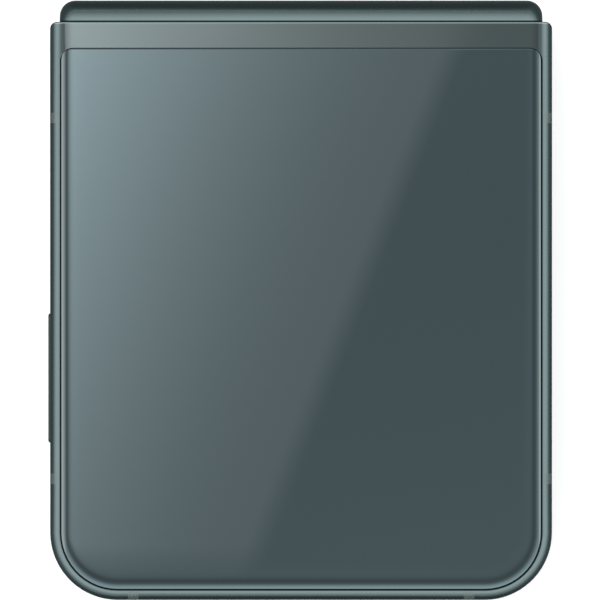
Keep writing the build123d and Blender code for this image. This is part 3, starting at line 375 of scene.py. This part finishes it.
def copper_winding():
    """Lacquered copper wire wound in close rings about the coil's middle."""
    paint = Paint("wound_copper", (0.62, 0.27, 0.12), rough=0.3, metal=1.0)
    to_middle = [-(low + high) / 2 for low, high in zip(*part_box("charging_coil"))]
    centred = paint.node("Mapping", {"Vector": paint.place, "Location": to_middle}).outputs[0]
    ring = paint.node(
        "TexWave", {"Vector": centred, "Scale": 900.0}, wave_type="RINGS", rings_direction="Z"
    ).outputs["Fac"]
    paint.set("Base Color", paint.tint(ring, 0.45, 1.1))
    paint.polish(paint.noise(grain=2500.0), 0.25, 0.4)
    paint.bump(ring, strength=0.5, distance=0.00004)
    return paint


def printed_film():
    """Printed film with thin parallel conductors along the cable."""
    paint = Paint("ribbon_film", (0.25, 0.12, 0.03), rough=0.38, Coat_Weight=0.4)
    wave = paint.node("TexWave", {"Vector": paint.place, "Scale": 900.0}, bands_direction="X")
    lines = wave.outputs["Fac"]
    paint.set("Base Color", paint.mixed(lines, paint.color, (0.45, 0.2, 0.06)))
    paint.polish(paint.noise(grain=1500.0), 0.3, 0.5)
    paint.bump(lines, strength=0.3, distance=0.00001)
    return paint


def foil_pouch():
    """Foil pouch with soft dents and a fine matte grain."""
    paint = Paint("battery_pouch", (0.05, 0.052, 0.055), rough=0.45, metal=0.3)
    dents = paint.noise(grain=160.0, detail=1.0)
    paint.tone(dents, 0.85, 1.2)
    paint.polish(paint.noise(grain=5000.0), 0.4, 0.55)
    paint.bump(dents, strength=0.35, distance=0.0001)
    return paint


def coated_lens():
    """Clear cover glass with a faint blue-violet coating."""
    paint = Paint("lens_cover_glass", (0.9, 0.95, 1.0), rough=0.02, Transmission_Weight=1.0, IOR=1.5)
    paint.tone(paint.noise(grain=40.0), 0.96, 1.0)
    paint.polish(paint.noise(grain=50.0), 0.012, 0.03)
    return paint


# painted highlight: the body's metal is 1.7 times as light along the rounded end of the strip toward the
# hinge
body_metal = satin_metal(
    "body_metal", (0.132, 0.174, 0.179), rough=0.16, painted_band=PAINTED_EDGE_HIGHLIGHT, painted_band_tone=1.7, roll=0.00008
)
key_metal = satin_metal("key_metal", (0.060, 0.072, 0.074), rough=0.2)
# painted shade: the spine's metal is nearly black in the gap under the ends of the halves
spine_metal = satin_metal("spine_metal", (0.132, 0.174, 0.176), rough=0.18, painted_band_tone=0.08)
back_glass = mirror_coated_glass()
black_glass = dark_glass("black_glass")
screen_film = dark_glass("screen_film", (0.004, 0.004, 0.005), rough=0.1, shine=0.25)
break_plastic = speckled(
    "break_plastic", (0.148, 0.190, 0.186), rough=0.26, metal=0.6, grain=400.0, relief=0.0, vary=0.02
)
bezel_rubber = speckled("bezel_rubber", (0.012, 0.012, 0.013), rough=0.55, grain=3500.0)
module_plastic = speckled("module_plastic", (0.02, 0.02, 0.022), rough=0.5)
ground_steel = brushed("ground_steel", (0.56, 0.56, 0.55), rough=0.28, grains=(400.0, 9000.0, 9000.0))
hinge_steel = speckled("hinge_steel", (0.50, 0.50, 0.49), rough=0.3, metal=1.0, grain=7000.0)
spring_steel = speckled("spring_steel", (0.42, 0.40, 0.37), rough=0.25, metal=1.0, grain=6000.0)
screw_steel = speckled("screw_steel", (0.32, 0.31, 0.30), rough=0.32, metal=1.0, grain=6000.0)
cast_metal = speckled("cast_metal", (0.55, 0.56, 0.57), rough=0.42, metal=1.0, grain=2500.0, relief=0.00001)
shield_metal = brushed("shield_metal", (0.62, 0.62, 0.60), rough=0.33, grains=(7000.0, 300.0, 7000.0))
board_mask = circuit_board()
wound_copper = copper_winding()
ribbon_film = printed_film()
battery_pouch = foil_pouch()
lens_glass = coated_lens()
lens_core = dark_glass("lens_core", (0.010, 0.008, 0.022), rough=0.03)
baffle_black = speckled("baffle_black", (0.006, 0.006, 0.007), rough=0.5, grain=6000.0)
flash_resin = speckled("flash_resin", (0.80, 0.66, 0.34), rough=0.2, grain=1500.0, Coat_Weight=0.8)
seal_black = speckled("seal_black", (0.003, 0.008, 0.009), rough=0.6, grain=5000.0, Specular_IOR_Level=0.08)

# ---- Making meshes ----
SHARP = 28.0                        # degrees past which an edge shades as an edge
GLASS_SHARP = 40.0
JOIN_DIGITS = 6                     # points that agree to this many places of a metre are one
ARC_POINTS = 14
SIDE_POINTS = 26
SMALLEST_CORNER = 0.02
TURNED_SEGMENTS = 96
RIM_SEGMENTS = 128


def add_piece(name, mesh, paint, body, replaces=(), sharp=SHARP):
    """Give a finished mesh its shading and material, put it on its body in the scene, and hide the parts it
    replaces.
    """
    mesh.shade_smooth()
    mesh.set_sharp_from_angle(angle=math.radians(sharp))
    mesh.materials.append(paint.material)
    piece = bpy.data.objects.new(name, mesh)
    bpy.context.scene.collection.objects.link(piece)
    if body:
        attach(piece, body)
    if replaces:
        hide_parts(*replaces)
    return piece


def points_of(mesh):
    """A mesh's vertices as an array (points, 3), in metres."""
    points = np.empty(len(mesh.vertices) * 3)
    mesh.vertices.foreach_get("co", points)
    return points.reshape(-1, 3)


def smoothed(node, name, paint):
    """A node's own surface with its loose triangles joined, so that its rounds shade evenly.

    Points that lie together become one, and a triangle that this closes to a line is left out.
    """
    source = frame["nodes"][node].data
    corners = np.empty(len(source.loops), np.int64)
    source.loops.foreach_get("vertex_index", corners)
    points = points_of(source)
    _, first, joined = np.unique(
        np.round(points, JOIN_DIGITS), axis=0, return_index=True, return_inverse=True
    )
    faces = joined.reshape(-1)[corners].reshape(-1, 3)
    whole = (faces != np.roll(faces, 1, axis=1)).all(1)
    mesh = bpy.data.meshes.new(name)
    mesh.from_pydata(points[first].tolist(), [], faces[whole].tolist())
    piece = add_piece(name, mesh, paint, frame["nodes"][node]["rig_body"], (node,))
    finish = piece.modifiers.new("even_shading", "WEIGHTED_NORMAL")
    finish.keep_sharp = True


def outward(mesh):
    """Turn a closed mesh's faces outward if its signed volume is negative.

    Its sign is that of the sum, over the triangles, of one corner times the cross product of the
    other two.
    """
    mesh.calc_loop_triangles()
    corners = np.empty(len(mesh.loop_triangles) * 3, np.int32)
    mesh.loop_triangles.foreach_get("vertices", corners)
    a, b, c = points_of(mesh)[corners.reshape(-1, 3).T]
    if np.einsum("ij,ij->", a, np.cross(b, c)) < 0:
        mesh.flip_normals()


def rows_to_mesh(name, rows):
    """Closed surface over rings of points whose first and last rows are its two poles.

    rows is an array (sheets, rings, points, 3), in metres. The quads between ring i and ring i + 1
    join point j with point j + 1, and the last point with the first.
    """
    sheets, rings, count, _ = rows.shape
    inner = rows[:, 1:-1].reshape(sheets, -1, 3)
    points = np.concatenate([rows[:, 0, :1], inner, rows[:, -1, :1]], 1)
    j = np.arange(count)
    following = (j + 1) % count
    faces = []
    for start in np.arange(sheets) * points.shape[1]:
        first = start + 1
        last = first + (rings - 3) * count
        i = first + np.arange(rings - 3)[:, None] * count
        quads = np.stack([i + j, i + following, i + count + following, i + count + j], -1)
        faces += np.stack([np.full(count, start), first + following, first + j], 1).tolist()
        faces += quads.reshape(-1, 4).tolist()
        faces += np.stack([last + j, last + following, np.full(count, last + count)], 1).tolist()
    mesh = bpy.data.meshes.new(name)
    mesh.from_pydata(points.reshape(-1, 3).tolist(), [], faces)
    outward(mesh)
    return mesh


def tubes_to_mesh(name, tubes):
    """Closed tubes: tubes is (tubes, stations, points, 3), in metres, and joins round both ways."""
    number, stations, count, _ = tubes.shape
    tube, i, j = np.meshgrid(np.arange(number), np.arange(stations), np.arange(count), indexing="ij")
    start = tube * stations * count
    here, along = start + i * count, start + (i + 1) % stations * count
    after = (j + 1) % count
    quads = np.stack([here + j, along + j, along + after, here + after], -1)
    mesh = bpy.data.meshes.new(name)
    mesh.from_pydata(tubes.reshape(-1, 3).tolist(), [], quads.reshape(-1, 4).tolist())
    outward(mesh)
    return mesh


def rounded_outline(start, end, start_corner, end_corner, inset):
    """Ring of points round a glass's outline, moved in by inset.

    Each corner is a quarter circle of its radius less the inset, and the four straight sides
    between them are divided evenly. Points go round counter-clockwise in x and y.
    """
    x = GLASS_HALF_WIDTH - inset
    low, high = start + inset, end - inset
    arcs = []
    for cx, cy, corner, angle in (
        (x, low, start_corner, -90), (x, high, end_corner, 0),
        (-x, high, end_corner, 90), (-x, low, start_corner, 180),
    ):
        radius = max(corner - inset, SMALLEST_CORNER)
        middle = np.array([cx - math.copysign(radius, cx), cy + (radius if cy == low else -radius)])
        angles = np.radians(angle + np.linspace(0, 90, ARC_POINTS))
        arcs.append(middle + radius * np.stack([np.cos(angles), np.sin(angles)], 1))
    share = np.linspace(0, 1, SIDE_POINTS + 2)[1:-1, None]
    ring = []
    for arc, following in zip(arcs, arcs[1:] + arcs[:1]):
        ring += [arc, arc[-1] + (following[0] - arc[-1]) * share]
    return np.vstack(ring)


def edge_distance(points):
    """How far points lie inside the sides and the free end of a whole half's glass.

    It is the way to the nearer edge; in a free corner's square it is the corner's radius less the
    way to the corner's middle.
    """
    past_side = np.abs(points[:, 0]) - (GLASS_HALF_WIDTH - GLASS_CORNER)
    past_end = points[:, 1] - (GLASS_END - GLASS_CORNER)
    outside = np.hypot(np.maximum(past_side, 0), np.maximum(past_end, 0))
    return -(np.minimum(np.maximum(past_side, past_end), 0) + outside - GLASS_CORNER)


def curved_glass(name, matrix, body, outline, node):
    """A sheet of glass whose back falls away near the sides and the free end.

    Rings of the outline run from the middle of the back to its edge, down the edge and back to the
    middle of the front. The back lies below its flat by GLASS_FALL at the distance in from the
    sides and the free end, or by GLASS_RIM at the inset from the outline, whichever is more.
    """
    rings = []
    for inset in (*GLASS_INSETS, *[inset for inset, _ in GLASS_FALL[::-1]]):
        ring = rounded_outline(*outline, inset)
        drop = np.interp(np.clip(edge_distance(ring), 0, None), *zip(*GLASS_FALL))
        drop = np.maximum(drop, np.interp(inset, *zip(*GLASS_RIM)))
        rings.append(np.column_stack([ring, drop]))
    edge = rings[-1][:, :2]
    front = np.column_stack([edge, np.full(len(edge), GLASS_THICKNESS)])
    middle = (0.0, (outline[0] + outline[1]) / 2)
    poles = [np.tile([*middle, depth], (len(edge), 1)) for depth in (0.0, GLASS_THICKNESS)]
    rows = np.stack([poles[0], *rings, front, poles[1]])
    mesh = rows_to_mesh(name, placed(rows, matrix)[None])
    add_piece(name, mesh, back_glass, body, (node,), GLASS_SHARP)


def seal_bead(name, matrix, body, outline):
    """Dark bead in the seam round the glass: SEAL_SECTION goes round the glass's outline.

    It rises just over the glass's falling edge.
    """
    rings = [rounded_outline(*outline, inset) for inset, _ in SEAL_SECTION]
    depths = [np.full((len(rings[0]), 1), depth) for _, depth in SEAL_SECTION]
    tube = np.stack([np.hstack(pair) for pair in zip(rings, depths)], 1)
    mesh = tubes_to_mesh(name, placed(tube, matrix)[None])
    add_piece(name, mesh, seal_black, body)


def turned(name, profile, places, paint, replaces=(), rim=False):
    """Turned pieces of the camera half: a profile goes round an upright axis at each place.

    The profile is points of (radius, depth). It starts and ends on the axis, or for a rim it
    closes on itself clear of the axis.
    """
    profile = np.array(profile)
    angles = np.linspace(0, 2 * math.pi, RIM_SEGMENTS if rim else TURNED_SEGMENTS, endpoint=False)
    around = np.stack([np.cos(angles), np.sin(angles)], 1)
    flat = around * profile[:, None, :1] + np.array(places)[:, None, None]
    depth = np.broadcast_to(profile[:, None, 1:], (*flat.shape[:-1], 1))
    grid = placed(np.concatenate([flat, depth], -1), cover_half)
    mesh = tubes_to_mesh(name, grid.swapaxes(1, 2)) if rim else rows_to_mesh(name, grid)
    add_piece(name, mesh, paint, "cover_half", replaces)


def strips_along(name, path, faces, middles, width, paint, node):
    """Flat strips that cross the hinge along a path of (y, z) in the spine's frame.

    At every point of the path the strip's two faces lie at the distances in faces along the path's
    left normal. One strip stands at each middle, width wide.
    """
    along = np.gradient(path, axis=0)
    normal = np.stack([-along[:, 1], along[:, 0]], 1) / np.linalg.norm(along, axis=1)[:, None]
    inner, outer = (path + normal * distance for distance in faces)
    sheets = []
    for middle in middles:
        edges = ((-1, inner), (1, inner), (1, outer), (-1, outer))
        corners = [np.insert(face, 0, middle + edge * width / 2, axis=1) for edge, face in edges]
        rows = np.stack(corners, 1)
        ends = rows.mean(1, keepdims=True).repeat(len(edges), 1)
        sheets.append(np.concatenate([ends[:1], rows, ends[-1:]]))
    mesh = rows_to_mesh(name, placed(np.stack(sheets), spine))
    piece = add_piece(name, mesh, paint, None, (node,))
    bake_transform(piece)


# ---- Glass of both backs ----
curved_glass("near_back_glass", base_half, "base_half", NEAR_OUTLINE, "base_rear_glass")
curved_glass("far_back_glass", cover_half, "cover_half", FAR_OUTLINE, "cover_rear_glass")
seal_bead("near_seal", base_half, "base_half", NEAR_OUTLINE)
seal_bead("far_seal", cover_half, "cover_half", FAR_OUTLINE)

# ---- Display film and ribbons across the hinge, as (y, z) in the spine's frame ----
FOLD_RADIUS = 1.6529
FOLD_DEPTH = 0.3531
FILM_THICKNESS = 0.4
FILM_WIDTH = 68.2
FILM_TURNS = (math.radians(CLOSE_TURN), -0.6)       # from the half past the middle, in radians
FILM_POINTS = 48
FILM_SINK = 0.01                    # keeps the near strip's faces off the far strip's
RIBBON_WIDTH = 6.0
RIBBON_HALF = 0.06                  # half its thickness
RIBBON_PLACE = 4.6                  # out from the middle, on each side
RIBBON_TOP = (3.276, 2.062)         # where it leaves the half
RIBBON_RADIUS = 3.3034
RIBBON_CENTRE = -1.861
RIBBON_TURNS = (0.4, -95.0)         # from the half past the middle, in degrees
LOOP_POINTS = 40
RUN_POINTS = 14

for side, half, title, sink in ((1, "cover_half", "far", 0.0), (-1, "base_half", "near", FILM_SINK)):
    # The film's path is an arc about the fold's middle.
    angles = np.linspace(*FILM_TURNS, FILM_POINTS)
    arc = np.stack([FOLD_RADIUS * np.sin(angles), -FOLD_DEPTH - FOLD_RADIUS * np.cos(angles)], 1)
    strips_along(
        f"{title}_display_fold", arc * (side, 1), (side * -sink, side * -(FILM_THICKNESS - sink)),
        (0.0,), FILM_WIDTH, screen_film, "display_fold",
    )
    # The ribbons' path is a straight run from the half, then an arc round the spine's inside.
    angles = np.radians(np.linspace(*RIBBON_TURNS, LOOP_POINTS))
    loop = np.stack([RIBBON_RADIUS * np.cos(angles), RIBBON_CENTRE + RIBBON_RADIUS * np.sin(angles)], 1)
    run = np.linspace(RIBBON_TOP, loop[0], RUN_POINTS)[:-1]
    strips_along(
        f"{title}_hinge_ribbons", np.vstack([run, loop]) * (side, 1), (-RIBBON_HALF, RIBBON_HALF),
        (-RIBBON_PLACE, RIBBON_PLACE), RIBBON_WIDTH, ribbon_film, "hinge_ribbons",
    )

# ---- Metal and plastic of the body ----
for node, name, paint, slot in (
    ("base_frame", "near_body", body_metal, "frame_metal"),
    ("cover_frame", "far_body", body_metal, "frame_metal"),
    ("spine_cover", "spine_shell", spine_metal, "spine_metal"),
    ("base_antenna_breaks", "near_breaks", break_plastic, "break_plastic"),
    ("cover_antenna_breaks", "far_breaks", break_plastic, "break_plastic"),
    ("volume_key", "volume_rocker", key_metal, "frame_metal"),
    ("side_key", "side_button", key_metal, "frame_metal"),
    ("sim_tray", "sim_drawer", body_metal, "frame_metal"),
    ("camera_window", "camera_window_glass", black_glass, "dark_glass"),
    ("cover_bezel", "far_bezel", bezel_rubber, "bezel_plastic"),
    ("base_bezel", "near_bezel", bezel_rubber, "bezel_plastic"),
    ("usb_socket", "socket_shell", ground_steel, "steel"),
):
    smoothed(node, name, paint)

# ---- Cameras and flash: profiles as (radius, depth below the back's flat) ----
CAMERA_X = 24.6
CAMERA_PLACES = [(CAMERA_X, y) for y in (59.4, 72.2)]
FLASH_PLACES = [(15.6, 65.8)]
RIM_FACE = -0.35
RIM_FLAT = 5.6                      # radius of the face, where the round starts
RIM_ROUND = 0.28
ROUND_POINTS = 8
GROOVE_POINTS = 4
GROOVE_START, GROOVE_STEP, GROOVE_DEPTH = 5.15, 0.08, 0.02      # inwards from GROOVE_START
RIM_INSIDE = ((4.62, -0.26), (4.5, -0.2), (4.5, 0.53), (5.18, 0.53), (5.18, 0.02), (5.88, 0.0))
LENS_RADIUS = 4.42
LENS_FACE, LENS_CROWN = -0.21, 0.03
LENS_POINTS = 9
LENS_BACK = ((4.45, -0.14), (4.45, -0.02), (4.3, 0.0), (0.0, 0.0))
BAFFLE = (
    (0, 0.60), (1.55, 0.60), (1.6, 0.45), (2.1, 0.43), (2.15, 0.32), (2.8, 0.30), (2.85, 0.2),
    (3.6, 0.18), (3.65, 0.08), (4.47, 0.06), (4.47, 0.64), (0, 0.64),
)
CORE_RADIUS, CORE_HEIGHT, CORE_FOOT = 1.5, 0.27, 0.60
CORE_POINTS = 10
CORE_BACK = ((1.5, 0.61), (0.0, 0.61))
FLASH_START, FLASH_STEP = 0.1, 0.13
FLASH_FACE, FLASH_GROOVE = 0.03, 0.05
FLASH_POINTS = 8
FLASH_BACK = ((1.14, 0.02), (1.18, 0.08), (1.18, 0.55), (1.75, 0.62), (1.75, 1.5), (0, 1.5))


def rim_profile():
    """Section of a camera ring: flat rim, rounded outer edge, bevel to the bore, sleeve behind.

    The round is a quarter circle, and every other point of the grooves lies deeper.
    """
    angles = np.radians(np.linspace(0, 90, ROUND_POINTS))[::-1]
    radii = RIM_FLAT + RIM_ROUND * np.sin(angles)
    outer = np.stack([radii, RIM_FACE + RIM_ROUND * (1 - np.cos(angles))], 1)
    k = np.arange(GROOVE_POINTS)
    grooves = np.stack([GROOVE_START - GROOVE_STEP * k, RIM_FACE + GROOVE_DEPTH * (k % 2)], 1)
    return np.vstack([outer, grooves, RIM_INSIDE])


def lens_profile():
    """Section of a lens window: its face falls with the square of the way out from its middle."""
    share = np.linspace(0, 1, LENS_POINTS)
    dome = np.stack([LENS_RADIUS * share, LENS_FACE + LENS_CROWN * share**2], 1)
    return np.vstack([dome, LENS_BACK])


def core_profile():
    """Section of a lens core: a quarter of an ellipse, CORE_RADIUS wide and CORE_HEIGHT high."""
    angles = np.radians(np.linspace(0, 90, CORE_POINTS))
    dome = np.stack([CORE_RADIUS * np.sin(angles), CORE_FOOT - CORE_HEIGHT * np.cos(angles)], 1)
    return np.vstack([dome, CORE_BACK])


def flash_profile():
    """Section of the flash window: every other one of its even steps out lies deeper."""
    k = np.arange(FLASH_POINTS)
    teeth = np.stack([FLASH_START + FLASH_STEP * k, FLASH_FACE + FLASH_GROOVE * (k % 2)], 1)
    return np.vstack([(0, FLASH_FACE), teeth, FLASH_BACK])


turned("camera_rims", rim_profile(), CAMERA_PLACES, body_metal, ("camera_rings",), rim=True)
turned("lens_windows", lens_profile(), CAMERA_PLACES, lens_glass, ("camera_lenses",))
turned("lens_baffles", BAFFLE, CAMERA_PLACES, baffle_black)
turned("lens_cores", core_profile(), CAMERA_PLACES, lens_core)
turned("flash_window", flash_profile(), FLASH_PLACES, flash_resin, ("flash_lens",))

# ---- Finishes of the parts inside ----
for nodes, paint in (
    (("cover_display", "base_display", "outer_screen"), screen_film),
    (("cover_display_plate", "base_display_plate", "sim_socket"), ground_steel),
    (("hinge_blocks", "cover_hinge_brackets", "base_hinge_brackets", "cover_arms", "base_arms",
      "cover_idlers", "base_idlers", "arm_pins", "vibration_motor"), hinge_steel),
    (("cover_side_springs", "base_side_springs"), spring_steel),
    (("main_board_screws", "sub_board_screws", "cover_bracket_screws", "base_bracket_screws",
      "hinge_block_screws"), screw_steel),
    (("cover_midplate", "base_midplate", "microphone"), cast_metal),
    (("board_shields",), shield_metal),
    (("main_board", "sub_board"), board_mask),
    (("charging_coil",), wound_copper),
    (("cover_ribbons", "base_ribbons"), ribbon_film),
    (("cover_battery", "base_battery"), battery_pouch),
    (("camera_modules", "front_camera", "earpiece", "key_switches", "loudspeaker"), module_plastic),
):
    for node in nodes:
        mesh = frame["nodes"][node].data
        mesh.materials.clear()
        mesh.materials.append(paint.material)

# ---- Studio: levels are light, where 1 is white ----
ROOM_LIGHT = 0.9
# What gloss sees of the room: (way down from straight up, level)
ROOM = (
    (0.0, 0.49), (0.020, 0.49), (0.030, 0.56), (0.036, 0.58), (0.046, 0.53), (0.066, 0.41),
    (0.087, 0.35), (0.141, 0.40), (0.191, 0.50), (0.249, 0.64), (0.30, 0.84), (0.351, 1.06),
    (0.394, 1.30), (0.46, 1.62), (0.524, 1.80), (0.592, 1.76), (0.652, 1.38), (0.707, 1.00),
    (0.728, 0.86), (0.775, 0.46), (0.79, 0.31),
)
LOWEST = 0.8                        # way down at which ROOM ends
LEAN = 0.2                          # how much lower the room stands toward the hinge and free end

CARD_HEIGHT = 0.085                 # in metres; the card's other sizes are in millimetres
CARD_EDGE = ((24.3, 36.0), (-6.2, -41.8))
CARD_FAR = 54.1
CARD_SOFT = 3.6
CARD_LEFT = (-34.5, -54.0)          # full there and gone here, as at the next two ends
CARD_NEAR = (-37.0, -48.0)
CARD_BACK = (44.0, 54.0)
CARD_LEVEL, CARD_RISE = 0.70, 1.36
CARD_TONE = (1.08, 1.0, 0.99)

SHEET_REACH = 0.6                   # lengths from here on are in metres
SHEET_HEIGHT = 0.0001
SHEET_ALONG = 0.5                   # how much the way toward the hinge counts
SHEET_STOPS = ((0.0, 0.15), (0.08, 0.15), (0.105, 0.25), (0.16, 0.42), (0.39, 0.76), (0.73, 0.87))
SHEET_TONE = (0.84, 1.0, 1.0)

FLOOR_REACH = 3.0
FLOOR_TONE = (0.97, 0.97, 0.97)
FLOOR_GLOW = 0.45

LAMP_PLACE = (-0.9, 0.5, 1.3)
LAMP_SIZE = 0.9
LAMP_POWER = 6.0


def light_nodes(owner):
    """Empty nodes of a world or material that only gives off light."""
    owner.use_nodes = True
    owner.node_tree.nodes.clear()
    return Nodes(owner.node_tree)


def make_world():
    """Soft white light all round. Gloss shows it as a bright ring at mid height and a dim top.

    Gloss takes its level from ROOM at sqrt((1 - h) / 2), which is 0 straight up; h is the height of
    the direction less LEAN times the square of its length toward the hinge or the free end.
    """
    world = bpy.data.worlds.new("soft_room")
    bpy.context.scene.world = world
    nodes = light_nodes(world)
    axes = nodes.node("SeparateXYZ", {0: nodes.node("TexCoord").outputs["Generated"]}).outputs
    sideways = nodes.math("MULTIPLY", axes["Y"], axes["Y"])
    height = nodes.math("SUBTRACT", axes["Z"], nodes.math("MULTIPLY", sideways, LEAN))
    fall = nodes.math("MAXIMUM", nodes.math("SUBTRACT", 1.0, height), 0.0)
    down = nodes.math("POWER", nodes.math("MULTIPLY", fall, 0.5), 0.5)
    stops = [(at / LOWEST, level) for at, level in ROOM]
    ring = nodes.ramp(nodes.math("DIVIDE", down, LOWEST), stops)
    plain = nodes.node("Background", {"Color": (1, 1, 1, 1), "Strength": ROOM_LIGHT}).outputs[0]
    shown = nodes.node("Background", {"Color": ring, "Strength": 1.0}).outputs[0]
    gloss = nodes.node("LightPath").outputs["Is Glossy Ray"]
    mixed = nodes.node("MixShader", {0: gloss, 1: plain, 2: shown}).outputs[0]
    nodes.node("OutputWorld", {"Surface": mixed})


def square(reach, height):
    """Corners of a level square about the middle."""
    return [(reach * x, reach * y, height) for x, y in ((-1, -1), (1, -1), (1, 1), (-1, 1))]


def studio_sheet(name, corners, material):
    """A flat four-cornered piece of the studio."""
    mesh = bpy.data.meshes.new(name)
    mesh.from_pydata(corners, [], [(0, 1, 2, 3)])
    mesh.materials.append(material)
    sheet = bpy.data.objects.new(name, mesh)
    bpy.context.scene.collection.objects.link(sheet)


def gloss_only(name, corners, tone, shade):
    """A flat piece of studio gear that only gloss sees, glowing in tone.

    shade gives the strength of its glow, and how much of it is there, from its nodes and the place
    on it.
    """
    material = bpy.data.materials.new(name)
    nodes = light_nodes(material)
    axes = nodes.node("SeparateXYZ", {0: nodes.node("TexCoord").outputs["Object"]}).outputs
    strength, share = shade(nodes, axes["X"], axes["Y"])
    seen = nodes.math("MULTIPLY", nodes.node("LightPath").outputs["Is Glossy Ray"], share)
    glow = nodes.node("Emission", {"Color": (*tone, 1), "Strength": strength}).outputs[0]
    clear = nodes.node("BsdfTransparent").outputs[0]
    mixed = nodes.node("MixShader", {0: seen, 1: clear, 2: glow}).outputs[0]
    nodes.node("OutputMaterial", {"Surface": mixed})
    studio_sheet(name, corners, material)


def make_card():
    """A light card over the left of the phone: brighter away from its slanting edge.

    Its strength rises with the distance d from that edge as CARD_LEVEL + CARD_RISE * (d / CARD_FAR)
    squared. It fades in over the first CARD_SOFT, and out with the square of the way at its other
    three ends. Its sizes are those that its image has in the phone's back, so it is itself larger
    by spread.
    """
    (x0, y0), (x1, y1) = CARD_EDGE
    slope = (x0 - x1) / (y0 - y1)
    spread = 1 + CARD_HEIGHT / (CAMERA_DISTANCE * MM)
    near, back, left = CARD_NEAR[1], CARD_BACK[1], CARD_LEFT[1]
    flat = [*[(x0 + slope * (y - y0), y) for y in (back, near)], (left, near), (left, back)]
    corners = [(x * MM * spread, y * MM * spread, CARD_HEIGHT) for x, y in flat]

    def shade(nodes, x, y):
        """Strength and share of the card at a place on it."""
        x, y = (nodes.math("DIVIDE", value, MM * spread) for value in (x, y))
        along = nodes.math("SUBTRACT", nodes.math("MULTIPLY", y, slope), x)
        distance = nodes.math("MAXIMUM", nodes.math("ADD", along, x0 - slope * y0), 0.0)
        rise = nodes.math("POWER", nodes.math("DIVIDE", distance, CARD_FAR), 2.0)
        level = nodes.math("ADD", nodes.math("MULTIPLY", rise, CARD_RISE), CARD_LEVEL)
        fade = nodes.math("MINIMUM", nodes.math("DIVIDE", distance, CARD_SOFT), 1.0)
        for value, (full, none) in ((x, CARD_LEFT), (y, CARD_NEAR), (y, CARD_BACK)):
            share = nodes.math("DIVIDE", nodes.math("SUBTRACT", value, none), full - none)
            share = nodes.math("MINIMUM", nodes.math("MAXIMUM", share, 0.0), 1.0)
            fade = nodes.math("MULTIPLY", fade, nodes.math("MULTIPLY", share, share))
        return level, fade

    gloss_only("light_card", corners, CARD_TONE, shade)


def make_sheet():
    """A grey sheet on the floor for gloss alone, which gives the phone's flanks a dark edge line.

    Its level goes with SHEET_STOPS at sqrt(x squared + (SHEET_ALONG * y) squared) / SHEET_REACH:
    dark beside the phone and paler with the distance.
    """

    def shade(nodes, x, y):
        """Strength of the sheet at a place on it, which is all there."""
        across = nodes.math("POWER", nodes.math("ABSOLUTE", x), 2.0)
        along = nodes.math("POWER", nodes.math("ABSOLUTE", nodes.math("MULTIPLY", y, SHEET_ALONG)), 2.0)
        distance = nodes.math("POWER", nodes.math("ADD", across, along), 0.5)
        return nodes.ramp(nodes.math("DIVIDE", distance, SHEET_REACH), SHEET_STOPS), 1.0

    gloss_only("grey_sheet", square(SHEET_REACH, SHEET_HEIGHT), SHEET_TONE, shade)


def make_floor():
    """Pale floor that keeps the phone's shadow; eye, gloss and glass see it a little brighter."""
    paint = Paint("pale_floor", FLOOR_TONE, rough=0.9)
    paint.set("Base Color", paint.tint(paint.noise(grain=3.0), 0.995, 1.0))
    rays = paint.node("LightPath").outputs
    seen = paint.math("MAXIMUM", rays["Is Camera Ray"], rays["Is Glossy Ray"])
    seen = paint.math("MAXIMUM", seen, rays["Is Transmission Ray"])
    glow = paint.node("Emission", {"Strength": paint.math("MULTIPLY", seen, FLOOR_GLOW)})
    both = paint.node("AddShader", {0: paint.shader.outputs[0], 1: glow.outputs[0]})
    paint.put(paint.tree.nodes["Material Output"].inputs["Surface"], both.outputs[0])
    studio_sheet("pale_floor", square(FLOOR_REACH, 0.0), paint.material)


def make_lamp():
    """A soft box that faces the phone."""
    data = bpy.data.lights.new("soft_box_left", "AREA")
    data.shape = "SQUARE"
    data.size = LAMP_SIZE
    data.energy = LAMP_POWER
    lamp = bpy.data.objects.new("soft_box_left", data)
    lamp.location = LAMP_PLACE
    lamp.rotation_mode = "QUATERNION"
    lamp.rotation_quaternion = (-Vector(LAMP_PLACE)).to_track_quat("-Z", "Y")
    lamp.visible_glossy = False
    bpy.context.scene.collection.objects.link(lamp)


make_world()
make_card()
make_sheet()
make_floor()
make_lamp()

bpy.context.scene.view_settings.view_transform = "Standard"
